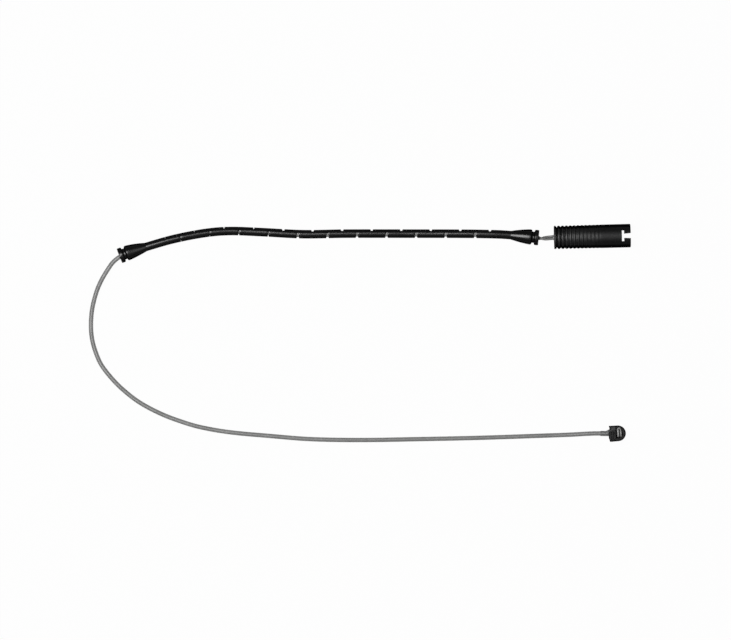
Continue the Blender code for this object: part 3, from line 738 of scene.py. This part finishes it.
plug_to_world = Matrix.Translation((*PLUG_PLACE, PLUG_DIAMETER / 2)) @ Matrix.Rotation(
    PLUG_TURN, 4, "Z"
)
seal_start = REAR_WALL + FIT
carrier_seat = seal_start + SEAL_LENGTH + FIT
carrier_start = carrier_seat + FIT
shank_start = carrier_start + PIN_SINK
plug_side = plug_to_world.to_3x3() @ Vector((0.0, 1.0, 0.0))
pair_points = smooth_route(
    [
        on_sleeve(JACKET_INSET - FIT),
        on_sleeve(JACKET_INSET / 2),
        on_sleeve(0.0) + Vector(CORE_DROP),
        on_sleeve(0.0) + Vector(CORE_CROSSING),
        plug_to_world @ Vector((0.0, 0.0, 0.0)),
        plug_to_world @ Vector((REAR_WALL, 0.0, 0.0)),
        plug_to_world @ Vector((seal_start + SEAL_LENGTH / 2, 0.0, 0.0)),
        plug_to_world @ Vector((shank_start + CRIMP_DEPTH - FIT, 0.0, 0.0)),
    ],
    CORE_STEP,
)
core_offset = (CORE_DIAMETER + CORE_GAP) / 2
sleeve_face_x = on_sleeve(0.0).x
core_finish = moulded(
    "core_insulation",
    CORE_GREY,
    CORE_PALE,
    roughness=(0.30, 0.42),
    patch=0.003,
    grain=(0.00015, 0.000006),
    swell=0.00002,
)
for number, side in ((1, 1), (2, -1)):
    core_points = []
    for point in pair_points:
        # half a twist, from inside the sleeve to a little before the plug
        open_share = (point.x - sleeve_face_x) / (PLUG_PLACE[0] - sleeve_face_x)
        twist = math.pi * eased((open_share - TWIST_START) / (TWIST_END - TWIST_START))
        spread = eased((point.x - PLUG_PLACE[0] + SPREAD_RUN) / (seal_start + SPREAD_RUN))
        offset = core_offset + (PIN_SPACING / 2 - core_offset) * spread
        turned_side = plug_side * math.cos(twist) + Vector((0.0, 0.0, math.sin(twist)))
        core_points.append(point - turned_side * side * offset)
    core = round_bar(f"insulated_core_{number}", core_points, CORE_DIAMETER, CORE_RESOLUTION)
    dress(core, core_finish)
    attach(core, "root")
    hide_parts(f"core_wire_{number}")

# Plug: the barrel that pushes over its mate in the car's harness. Ring ribs give the
# fingers a hold, and T notches through its mouth take the mate's catches. It is
# one moulding of hard black plastic.
PLUG_LENGTH = 0.0413
PLUG_REAR_DIAMETER = 0.01258
PLUG_SIDES = 72
RIB_COUNT = 12
RIB_PITCH = 0.0021
RIB_CREST = (0.00095, 0.0007)
RIB_DEPTH = (0.00082, 0.00007)
RIB_FADE = 0.5
CREST_ROUNDING = (0.00034, 0.0001)
RIB_FLOOR = (0.0002, 0.00095)
FLOOR_ROUNDING = (0.00009, 0.0001)
MOUTH_ROUNDING = 0.0005
MOUTH_LINE = (0.00205, 0.00010, 0.00006)
BORE_ROUNDING = 0.00035
MATING_BORE = 0.0094
REAR_BORE = 0.0066
CORE_HOLE = 0.0046
NOTCH_SET_BACK = 0.0033
NOTCH_ARM_WIDTH = 0.0015
NOTCH_ARM_SPAN = 0.0063
NOTCH_STEM = 0.0023
NOTCH_MOUTH = 0.0029
NOTCH_OVERLAP = 0.0002
NOTCH_EDGE = 0.00012
PLUG_BLACK = (0.0015, 0.0015, 0.0016)
PLUG_PALE = (0.0035, 0.0035, 0.0037)
PLUG_GLOSS = (0.7, 0.27)
RUBBED_RUN = (0.008, 0.027)


def plug_radius(distance):
    """The barrel's radius over its crests, which has a little draft."""
    share = distance / PLUG_LENGTH
    return (PLUG_REAR_DIAMETER + (PLUG_DIAMETER - PLUG_REAR_DIAMETER) * share) / 2


def block(name, low, high):
    """A box between two corners, as a start for a piece or a cutter."""
    low, high = Vector(low), Vector(high)
    bpy.ops.object.select_all(action="DESELECT")
    bpy.ops.mesh.primitive_cube_add(size=1.0)
    box = bpy.context.object
    box.name = box.data.name = name
    edit(box)
    bpy.ops.mesh.select_all(action="SELECT")
    bpy.ops.transform.resize(value=high - low)
    bpy.ops.transform.translate(value=(low + high) / 2)
    bpy.ops.object.mode_set(mode="OBJECT")
    return box


def place_piece(piece, to_world):
    """Moves a piece's mesh to its place, and leaves its object at the origin."""
    piece.matrix_world = to_world
    select_only(piece)
    bpy.ops.object.transform_apply(location=True, rotation=True, scale=True)


def between(ends, share):
    """The number at that share of the way from the first end to the second."""
    return ends[0] + (ends[1] - ends[0]) * share


# the ribs fade from the cable end to the mouth
barrel_profile = []
for rib in range(RIB_COUNT):
    share = rib / (RIB_COUNT - 1)
    crest = rib * RIB_PITCH
    crest_end = crest + between(RIB_CREST, share)
    groove = (crest_end + crest + RIB_PITCH) / 2
    floor_half = between(RIB_FLOOR, share) / 2
    floor = plug_radius(groove) - between(RIB_DEPTH, share ** RIB_FADE)
    rounding = between(CREST_ROUNDING, share)
    floor_rounding = between(FLOOR_ROUNDING, share)
    barrel_profile += [
        (crest, plug_radius(crest), rounding),
        (crest_end, plug_radius(crest_end), rounding),
        (groove - floor_half, floor, floor_rounding),
        (groove + floor_half, floor, floor_rounding),
    ]
line_back, line_half, line_depth = MOUTH_LINE
line = PLUG_LENGTH - line_back
barrel_profile += [
    (RIB_COUNT * RIB_PITCH, plug_radius(RIB_COUNT * RIB_PITCH), CREST_ROUNDING[1]),
    (line - line_half, plug_radius(line), 0.0),
    (line, plug_radius(line) - line_depth, 0.0),
    (line + line_half, plug_radius(line), 0.0),
    (PLUG_LENGTH, PLUG_DIAMETER / 2, MOUTH_ROUNDING),
    (PLUG_LENGTH, MATING_BORE / 2, BORE_ROUNDING),
    (carrier_seat, MATING_BORE / 2, 0.0),
    (carrier_seat, REAR_BORE / 2, 0.0),
    (REAR_WALL, REAR_BORE / 2, 0.0),
    (REAR_WALL, CORE_HOLE / 2, 0.0),
    (0.0, CORE_HOLE / 2, BORE_ROUNDING),
]
plug = turned("plug_shell", barrel_profile, PLUG_SIDES, phase=math.pi / PLUG_SIDES)
arm_near = PLUG_LENGTH - NOTCH_SET_BACK
through = PLUG_DIAMETER / 2 + CUT_PAST
arm_half, stem_half = NOTCH_ARM_SPAN / 2, NOTCH_STEM / 2
arm = block(
    "notch_arm",
    (arm_near - NOTCH_ARM_WIDTH, -arm_half, -through),
    (arm_near, arm_half, through),
)
take_out(plug, arm)
stem = block(
    "notch_stem",
    (arm_near - NOTCH_OVERLAP, -stem_half, -through),
    (PLUG_LENGTH, stem_half, through),
)
edit(stem)
pick(stem, lambda co: co.x > arm_near)
bpy.ops.transform.resize(
    value=(1.0, NOTCH_MOUTH / NOTCH_STEM, 1.0), center_override=(0.0, 0.0, 0.0)
)
bpy.ops.transform.translate(value=(CUT_PAST, 0.0, 0.0))
bpy.ops.object.mode_set(mode="OBJECT")
take_out(plug, stem)
soften(plug, NOTCH_EDGE)
place_piece(plug, plug_to_world)
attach(plug, "root")
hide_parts("plug_barrel")

plug_finish = moulded(
    "plug_plastic",
    PLUG_BLACK,
    PLUG_PALE,
    roughness=(0.44, 0.52),
    patch=0.004,
    grain=(0.00016, 0.000004),
    swell=0.00002,
)
# handling has rubbed the ribs, most at the cable end, so they shine more than the rest
nodes, links = plug_finish.node_tree.nodes, plug_finish.node_tree.links
place = nodes.new("ShaderNodeMapping")
place.vector_type = "TEXTURE"
place.inputs["Location"].default_value = (*PLUG_PLACE, PLUG_DIAMETER / 2)
place.inputs["Rotation"].default_value = (0.0, 0.0, PLUG_TURN)
links.new(nodes.new("ShaderNodeTexCoord").outputs["Object"], place.inputs["Vector"])
axes = nodes.new("ShaderNodeSeparateXYZ")
links.new(place.outputs["Vector"], axes.inputs["Vector"])
matt_edge(plug_finish, ranged(nodes, axes.outputs["X"], *PLUG_GLOSS, *RUBBED_RUN))
dress(plug, plug_finish)

# Rear seal: a soft three-lipped grommet, pressed into the plug's cable end round
# the two cores. It is moulded in terracotta silicone rubber.
SEAL_LIPS = 3
SEAL_LIP_DEPTH = 0.0004
SEAL_LIP_CREST = (0.3, 0.7)  # shares of its pitch
SEAL_PLAY = 0.00005
WIRE_PLAY = 0.00004
HOLE_SIDES = 32
SEAL_SIDES = 48
SEAL_ROUNDING = 0.00025
SEAL_EDGE = 0.0001
SEAL_RED = (0.30, 0.075, 0.028)
SEAL_PALE = (0.38, 0.11, 0.045)


def hole(name, radius, low, high, y=0.0):
    """A round cutter along X between two distances."""
    corners = [(low, 0.0, 0.0), (low, radius, 0.0), (high, radius, 0.0), (high, 0.0, 0.0)]
    cutter = turned(name, corners, HOLE_SIDES, closed=False)
    place_piece(cutter, Matrix.Translation((0.0, y, 0.0)))
    return cutter


seal_radius = REAR_BORE / 2 - SEAL_PLAY
lip_pitch = SEAL_LENGTH / SEAL_LIPS
seal_profile = [(seal_start, 0.0, 0.0), (seal_start, seal_radius - SEAL_LIP_DEPTH, SEAL_ROUNDING)]
for lip in range(SEAL_LIPS):
    lip_start = seal_start + lip * lip_pitch
    seal_profile += [
        (lip_start + SEAL_LIP_CREST[0] * lip_pitch, seal_radius, SEAL_ROUNDING),
        (lip_start + SEAL_LIP_CREST[1] * lip_pitch, seal_radius, SEAL_ROUNDING),
        (lip_start + lip_pitch, seal_radius - SEAL_LIP_DEPTH, SEAL_ROUNDING),
    ]
seal_profile.append((seal_start + SEAL_LENGTH, 0.0, 0.0))
seal = turned("lipped_seal", seal_profile, SEAL_SIDES, closed=False)
for side in (1, -1):
    take_out(
        seal,
        hole(
            "core_way",
            CORE_DIAMETER / 2 + WIRE_PLAY,
            seal_start - CUT_PAST,
            seal_start + SEAL_LENGTH + CUT_PAST,
            side * PIN_SPACING / 2,
        ),
    )
soften(seal, SEAL_EDGE)
place_piece(seal, plug_to_world)
seal_finish = moulded(
    "seal_rubber",
    SEAL_RED,
    SEAL_PALE,
    roughness=(0.50, 0.65),
    patch=0.002,
    grain=(0.00012, 0.000008),
    swell=0.00002,
)
dress(seal, seal_finish)
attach(seal, "root")
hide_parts("rear_seal")

# Contact carrier: the insulator that holds the two pins in the plug's bore. It is
# turned in dark glass-filled plastic, with a countersink at each pin.
CARRIER_LENGTH = 0.012
CARRIER_WEB = 0.002
CARRIER_SIDES = 64
CARRIER_CHAMFER = 0.0004
CARRIER_EDGE = 0.00008
PIN_DIAMETER = 0.0015
PIN_PLAY = 0.0001
CRIMP_BORE = 0.00075
SHANK_RADIUS = 0.00115
COUNTERSINK = (0.0004, 0.0005)
CARRIER_GREY = (0.035, 0.036, 0.038)
CARRIER_PALE = (0.055, 0.056, 0.058)

carrier_front = carrier_start + CARRIER_LENGTH
carrier_radius = MATING_BORE / 2 - FIT
carrier = turned(
    "pin_carrier",
    [
        (carrier_start, 0.0, 0.0),
        (carrier_start, carrier_radius, CARRIER_CHAMFER),
        (carrier_front, carrier_radius, CARRIER_CHAMFER),
        (carrier_front, 0.0, 0.0),
    ],
    CARRIER_SIDES,
    closed=False,
)
web_rear = carrier_front - CARRIER_WEB
tip_radius = PIN_DIAMETER / 2 + PIN_PLAY
sink_depth, sink_width = COUNTERSINK
for side in (1, -1):
    y = side * PIN_SPACING / 2
    shank_way = hole(
        "shank_way", SHANK_RADIUS + PIN_PLAY, carrier_start - CUT_PAST, web_rear, y
    )
    take_out(carrier, shank_way)
    tip_way = turned(
        "tip_way",
        [
            (web_rear - CUT_PAST, 0.0, 0.0),
            (web_rear - CUT_PAST, tip_radius, 0.0),
            (carrier_front - sink_depth, tip_radius, 0.0),
            (carrier_front, tip_radius + sink_width, 0.0),
            (carrier_front + CUT_PAST, tip_radius + sink_width, 0.0),
            (carrier_front + CUT_PAST, 0.0, 0.0),
        ],
        HOLE_SIDES,
        closed=False,
    )
    place_piece(tip_way, Matrix.Translation((0.0, y, 0.0)))
    take_out(carrier, tip_way)
soften(carrier, CARRIER_EDGE)
place_piece(carrier, plug_to_world)
carrier_finish = moulded(
    "carrier_plastic",
    CARRIER_GREY,
    CARRIER_PALE,
    roughness=(0.38, 0.5),
    patch=0.003,
    grain=(0.0001, 0.000008),
    swell=0.00002,
)
dress(carrier, carrier_finish)
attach(carrier, "root")
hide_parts("contact_carrier")

# Contact pins: two round pins of tinned brass. Each is turned, with a crimp cup
# for its core at the rear and a rounded tip in the plug's mouth.
PIN_REACH = 0.0114
PIN_SIDES = 32
TIP_ROUNDING = 0.0006
SHOULDER_ROUNDING = 0.00012
TIN = (0.72, 0.71, 0.68)
TIN_DULL = (0.55, 0.54, 0.51)

tin = moulded(
    "tinned_brass",
    TIN_DULL,
    TIN,
    roughness=(0.18, 0.34),
    patch=0.002,
    grain=(0.00008, 0.000004),
    swell=0.00001,
)
tin.node_tree.nodes["Principled BSDF"].inputs["Metallic"].default_value = 1.0
pin_tip = carrier_front + PIN_REACH
shank_end = web_rear - FIT
pin_profile = [
    (pin_tip, 0.0, 0.0),
    (pin_tip, PIN_DIAMETER / 2, TIP_ROUNDING),
    (shank_end, PIN_DIAMETER / 2, 0.0),
    (shank_end, SHANK_RADIUS, SHOULDER_ROUNDING),
    (shank_start, SHANK_RADIUS, SHOULDER_ROUNDING),
    (shank_start, CRIMP_BORE, SHOULDER_ROUNDING),
    (shank_start + CRIMP_DEPTH, CRIMP_BORE, 0.0),
    (shank_start + CRIMP_DEPTH, 0.0, 0.0),
]
for number, side in ((1, 1), (2, -1)):
    pin = turned(f"round_pin_{number}", pin_profile, PIN_SIDES, closed=False)
    select_only(pin)
    bpy.ops.object.shade_smooth_by_angle(angle=SMOOTH_ANGLE)
    place_piece(pin, plug_to_world @ Matrix.Translation((0.0, side * PIN_SPACING / 2, 0.0)))
    dress(pin, tin)
    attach(pin, "root")
    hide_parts(f"contact_pin_{number}")

# Head: the moulded block that clips into the brake pad, flat at the rear and round
# at the nose. A window in its top shows the loop that the disc wears through.
HEAD_THICKNESS = 0.0062
NOSE_CENTRE = (0.00455, -0.00015)
NOSE_RADIUS = 0.00423
NOSE_STEPS = 28
HEAD_ROUNDING = 0.0007
HEAD_ROUNDING_STEPS = 4
LEVEL_WITHIN = 1e-6
HEAD_EDGE = 0.0001
HEAD_REAR = [
    (0.0, 0.00424),
    (0.00032, 0.00255),
    (-0.00042, 0.0019),
    (-0.00048, -0.0024),
    (-0.0003, -0.003),
    (0.00003, -0.00438),
]
SOCKET_RADIUS = 0.0021
SOCKET_DEPTH = 0.0017
WINDOW_START = 0.00328
WINDOW_CENTRE = (0.0045, 0.0001)
WINDOW_RADIUS = 0.003
WINDOW_DEPTH = 0.0021
WINDOW_REAR = [(WINDOW_START, 0.003), (WINDOW_START, -0.0028)]
PASSAGE_SET_BACK = 0.0002
CHAMBER_LOW = (0.0014, -0.0026, 0.0013)
CHAMBER_HIGH = (0.0069, 0.0017, 0.0035)
LOOP_DIAMETER = 0.00106
LOOP_REAR = 0.00466
LOOP_FRONT = 0.0061
LOOP_FOOT = -0.0020
LOOP_TIP = 0.0026
GRIP_GROOVES = (0.001, 0.0023)
GRIP_GROOVE_RADIUS = 0.0005
GRIP_GROOVE_DEPTH = 0.00015
GRIP_GROOVE_RUN = (-0.0036, 0.0009)
HEAD_BLACK = (0.0012, 0.0012, 0.0013)
HEAD_PALE = (0.003, 0.003, 0.0031)
HEAD_GLOSS = 0.19
WINDOW_SLITS = (
    ((0.00322, -0.0015), (0.004, 0.0028)),
    ((0.00512, -0.0013), (0.00558, 0.0009)),
    ((0.0067, -0.0016), (0.00725, 0.0017)),
)
SLIT_FLOOR = 0.0037
RAMP_TOP = 0.0036
RAMP_LEAN = math.radians(8)
RAMPS = (
    ("pad_ramp", (-0.0025, 0.00175), (0.0, 0.0034), 0.0),
    ("strap_ramp", (-0.0044, 0.0007), (-0.0018, 0.0016), math.radians(22)),
)


def nosed_slab(name, centre, radius, rear, low, high):
    """A flat block whose outline is a half circle at the front and these corners at the rear."""
    bpy.ops.object.select_all(action="DESELECT")
    bpy.ops.mesh.primitive_plane_add(size=0.001)
    slab = bpy.context.object
    slab.name = slab.data.name = name
    edit(slab)
    bpy.ops.mesh.select_all(action="SELECT")
    bpy.ops.mesh.merge(type="CENTER")
    start = Vector((centre[0], centre[1] - radius, low))
    bpy.ops.transform.translate(value=start)
    bpy.ops.mesh.spin(
        steps=NOSE_STEPS, angle=math.pi, center=(*centre, low), axis=(0.0, 0.0, -1.0)
    )
    shape = bmesh.from_edit_mesh(slab.data)
    before = max((vertex.co for vertex in shape.verts if vertex.select), key=lambda co: co.y).copy()
    pick(slab, lambda co: (co - before).length < SAME_PLACE)
    for corner in rear:
        after = Vector((*corner, low))
        bpy.ops.mesh.extrude_vertices_move(TRANSFORM_OT_translate={"value": after - before})
        before = after
    bpy.ops.mesh.select_all(action="SELECT")
    bpy.ops.mesh.edge_face_add()
    bpy.ops.mesh.extrude_region_move(TRANSFORM_OT_translate={"value": (0.0, 0.0, high - low)})
    bpy.ops.mesh.select_all(action="SELECT")
    bpy.ops.mesh.normals_make_consistent(inside=False)
    bpy.ops.object.mode_set(mode="OBJECT")
    return slab


head_to_world = Matrix.Translation((*HEAD_PLACE, 0.0)) @ Matrix.Rotation(HEAD_TURN, 4, "Z")
head = nosed_slab("wear_head", NOSE_CENTRE, NOSE_RADIUS, HEAD_REAR, 0.0, HEAD_THICKNESS)
shape = edit(head, "EDGE")
for edge in shape.edges:
    heights = [vertex.co.z for vertex in edge.verts]
    edge.select_set(abs(heights[0] - heights[1]) < LEVEL_WITHIN)
bmesh.update_edit_mesh(head.data)
bpy.ops.mesh.bevel(offset=HEAD_ROUNDING, segments=HEAD_ROUNDING_STEPS, affect="EDGES")
bpy.ops.object.mode_set(mode="OBJECT")
window_floor = HEAD_THICKNESS - WINDOW_DEPTH
above = HEAD_THICKNESS + CUT_PAST
take_out(
    head,
    nosed_slab("loop_window", WINDOW_CENTRE, WINDOW_RADIUS, WINDOW_REAR, window_floor, above),
)
take_out(head, block("loop_chamber", CHAMBER_LOW, CHAMBER_HIGH))
foot_room = LOOP_DIAMETER / 2 + FIT
take_out(
    head,
    block(
        "loop_passage",
        (WINDOW_START + PASSAGE_SET_BACK, LOOP_FOOT - foot_room, CHAMBER_HIGH[2] - FIT),
        (CHAMBER_HIGH[0], LOOP_FOOT + foot_room, window_floor + FIT),
    ),
)
for low, high in WINDOW_SLITS:
    take_out(head, block("window_slit", (*low, SLIT_FLOOR), (*high, window_floor + FIT)))
lead_to_world = entry_to_world @ Matrix.Translation((0.0, 0.0, HEAD_LEAD_HEIGHT))
socket = hole("lead_socket", SOCKET_RADIUS, -CUT_PAST, SOCKET_DEPTH)
place_piece(socket, head_to_world.inverted() @ lead_to_world)
take_out(head, socket)
groove_height = HEAD_THICKNESS + GRIP_GROOVE_RADIUS - GRIP_GROOVE_DEPTH
for x in GRIP_GROOVES:
    cutter = hole("grip_groove", GRIP_GROOVE_RADIUS, *GRIP_GROOVE_RUN)
    place_piece(
        cutter, Matrix.Translation((x, 0.0, groove_height)) @ Matrix.Rotation(math.pi / 2, 4, "Z")
    )
    take_out(head, cutter)
for name, low, high, turn in RAMPS:
    ramp = block(name, (low[0], low[1], 0.0), (high[0], high[1], CUT_PAST))
    swing = Matrix.Translation((low[0], 0.0, 0.0)) @ Matrix.Rotation(turn, 4, "Z")
    lean = Matrix.Translation((RAMP_TOP, 0.0, HEAD_THICKNESS)) @ Matrix.Rotation(-RAMP_LEAN, 4, "Y")
    place_piece(ramp, lean @ swing @ Matrix.Translation((-low[0], 0.0, 0.0)))
    take_out(head, ramp)
soften(head, HEAD_EDGE)
# the roundings meet in a few points
edit(head)
bpy.ops.mesh.select_all(action="SELECT")
bpy.ops.mesh.remove_doubles(threshold=0.000001)
bpy.ops.object.mode_set(mode="OBJECT")
place_piece(head, head_to_world)
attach(head, "root")
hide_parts("head_body")
head_finish = moulded(
    "head_plastic",
    HEAD_BLACK,
    HEAD_PALE,
    roughness=(0.34, 0.46),
    patch=0.003,
    grain=(0.00018, 0.00001),
    swell=0.00003,
)
matt_edge(head_finish, HEAD_GLOSS)
dress(head, head_finish)

# Boot: the strain relief moulded over the lead where it enters the head, in dark
# grey rubber. It is thin at first and flares into a ring against the head.
BOOT_RING = -0.00055
BOOT_FLARE = -0.0021
BOOT_RING_RADIUS = 0.00183
BOOT_REAR_RADIUS = 0.0014
BOOT_STEM_RADIUS = 0.0018
BOOT_SHIFT = 0.00035
BOOT_SHARES = (0.0, 0.25, 0.5, 0.75, 0.92)  # where its flare has a ring
BOOT_SWELL = 1.5
BOOT_NEAR = 0.00001
BOOT_SIDES = 40
BOOT_EDGE = 0.00012
BOOT_GREY = (0.085, 0.085, 0.085)
BOOT_PALE = (0.13, 0.13, 0.129)

boot_bore = LEAD_DIAMETER / 2 + WIRE_PLAY
boot_run = BOOT_RING - BOOT_FLARE
boot_rings = []
for share in BOOT_SHARES:
    radius = BOOT_REAR_RADIUS + (BOOT_RING_RADIUS - BOOT_REAR_RADIUS) * share ** BOOT_SWELL
    boot_rings.append((BOOT_FLARE + boot_run * share, radius, 0.0))
boot = turned(
    "strain_relief",
    [
        (-BOOT_LENGTH, BOOT_REAR_RADIUS, BOOT_EDGE),
        *boot_rings,
        (BOOT_RING, BOOT_RING_RADIUS, BOOT_EDGE),
        (BOOT_RING, BOOT_STEM_RADIUS, 0.0),
        (SOCKET_DEPTH - FIT, BOOT_STEM_RADIUS, BOOT_EDGE),
        (SOCKET_DEPTH - FIT, boot_bore, 0.0),
        (-BOOT_LENGTH, boot_bore, 0.0),
    ],
    BOOT_SIDES,
)
# its flare leans to one side, and its bore stays round the lead
shape = edit(boot)
for vertex in shape.verts:
    from_axis = math.hypot(vertex.co.y, vertex.co.z)
    if vertex.co.x < BOOT_RING + BOOT_NEAR and from_axis > (boot_bore + BOOT_REAR_RADIUS) / 2:
        share = eased((vertex.co.x - BOOT_FLARE) / boot_run)
        vertex.co.y += BOOT_SHIFT * share
bmesh.update_edit_mesh(boot.data)
bpy.ops.object.mode_set(mode="OBJECT")
select_only(boot)
bpy.ops.object.shade_smooth_by_angle(angle=SMOOTH_ANGLE)
place_piece(boot, lead_to_world)
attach(boot, "root")
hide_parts("lead_boot")
boot_finish = moulded(
    "boot_rubber",
    BOOT_GREY,
    BOOT_PALE,
    roughness=(0.32, 0.44),
    patch=0.002,
    grain=(0.00015, 0.00001),
    swell=0.00002,
)
dress(boot, boot_finish)

# Wear loop: an insulated wire that comes up through the window's floor, runs across,
# turns and goes down again. It joins the two cores, and the disc breaks it.
LOOP_STEP = 0.00035
LOOP_SINK = 0.0002
LOOP_RESOLUTION = 4
LOOP_REAR_LEG = ((0.0004, 0.0006), (0.0012, 0.0003))  # distance from its foot, drop
LOOP_TURN_DROPS = (0.0003, 0.0002, 0.0, 0.00028, 0.0007)
LOOP_FRONT_LEG = ((0.0026, 0.0003), (0.0014, 0.0002), (0.0006, 0.0006))
# the loop's insulation is the cores' own, painted lighter than theirs: a painted highlight on the
# loop in its dark window
LOOP_HIGHLIT_GREY = (0.20, 0.20, 0.197)
LOOP_HIGHLIT_PALE = (0.27, 0.27, 0.265)
STRAND_Y = 0.0006
STRAND_START = 0.0017

loop_radius = LOOP_DIAMETER / 2
loop_height = HEAD_THICKNESS - LOOP_SINK - loop_radius
loop_span = LOOP_FRONT - LOOP_REAR
loop_middle = (LOOP_REAR + LOOP_FRONT) / 2
chamber_strand = CHAMBER_LOW[2] + FIT + loop_radius
loop_knots = [
    (STRAND_START, -STRAND_Y, HEAD_LEAD_HEIGHT),
    (0.6 * STRAND_START + 0.4 * LOOP_REAR, -STRAND_Y - 0.0003, HEAD_LEAD_HEIGHT - 0.0002),
    (LOOP_REAR - 0.0003, LOOP_FOOT + 0.0002, HEAD_LEAD_HEIGHT - 0.0001),
    (LOOP_REAR, LOOP_FOOT, CHAMBER_HIGH[2]),
]
for past_foot, drop in LOOP_REAR_LEG:
    loop_knots.append((LOOP_REAR, LOOP_FOOT + past_foot, loop_height - drop))
for i, drop in enumerate(LOOP_TURN_DROPS):
    turn = math.pi * i / (len(LOOP_TURN_DROPS) - 1)
    loop_knots.append(
        (
            loop_middle - loop_span / 2 * math.cos(turn),
            LOOP_TIP - loop_span / 2 * (1.0 - math.sin(turn)),
            loop_height - drop,
        )
    )
for past_foot, drop in LOOP_FRONT_LEG:
    loop_knots.append((LOOP_FRONT, LOOP_FOOT + past_foot, loop_height - drop))
loop_knots += [
    (LOOP_FRONT, LOOP_FOOT, CHAMBER_HIGH[2]),
    (LOOP_FRONT - 0.0002, LOOP_FOOT + 0.0003, chamber_strand + 0.0002),
    (loop_middle, 0.0, chamber_strand),
    (0.5 * (STRAND_START + LOOP_REAR), STRAND_Y + 0.0001, chamber_strand + 0.0003),
    (STRAND_START, STRAND_Y, HEAD_LEAD_HEIGHT),
]
loop_points = smooth_route([head_to_world @ Vector(knot) for knot in loop_knots], LOOP_STEP)
loop = round_bar("window_loop", loop_points, LOOP_DIAMETER, LOOP_RESOLUTION)
# painted highlight: this grey is lighter than the same insulation on the cores
loop_highlit_finish = moulded(
    "loop_insulation_highlit",
    LOOP_HIGHLIT_GREY,
    LOOP_HIGHLIT_PALE,
    roughness=(0.26, 0.34),
    patch=0.002,
    grain=(0.00015, 0.000005),
    swell=0.00002,
)
dress(loop, loop_highlit_finish)
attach(loop, "root")
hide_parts("wear_loop")

low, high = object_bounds()
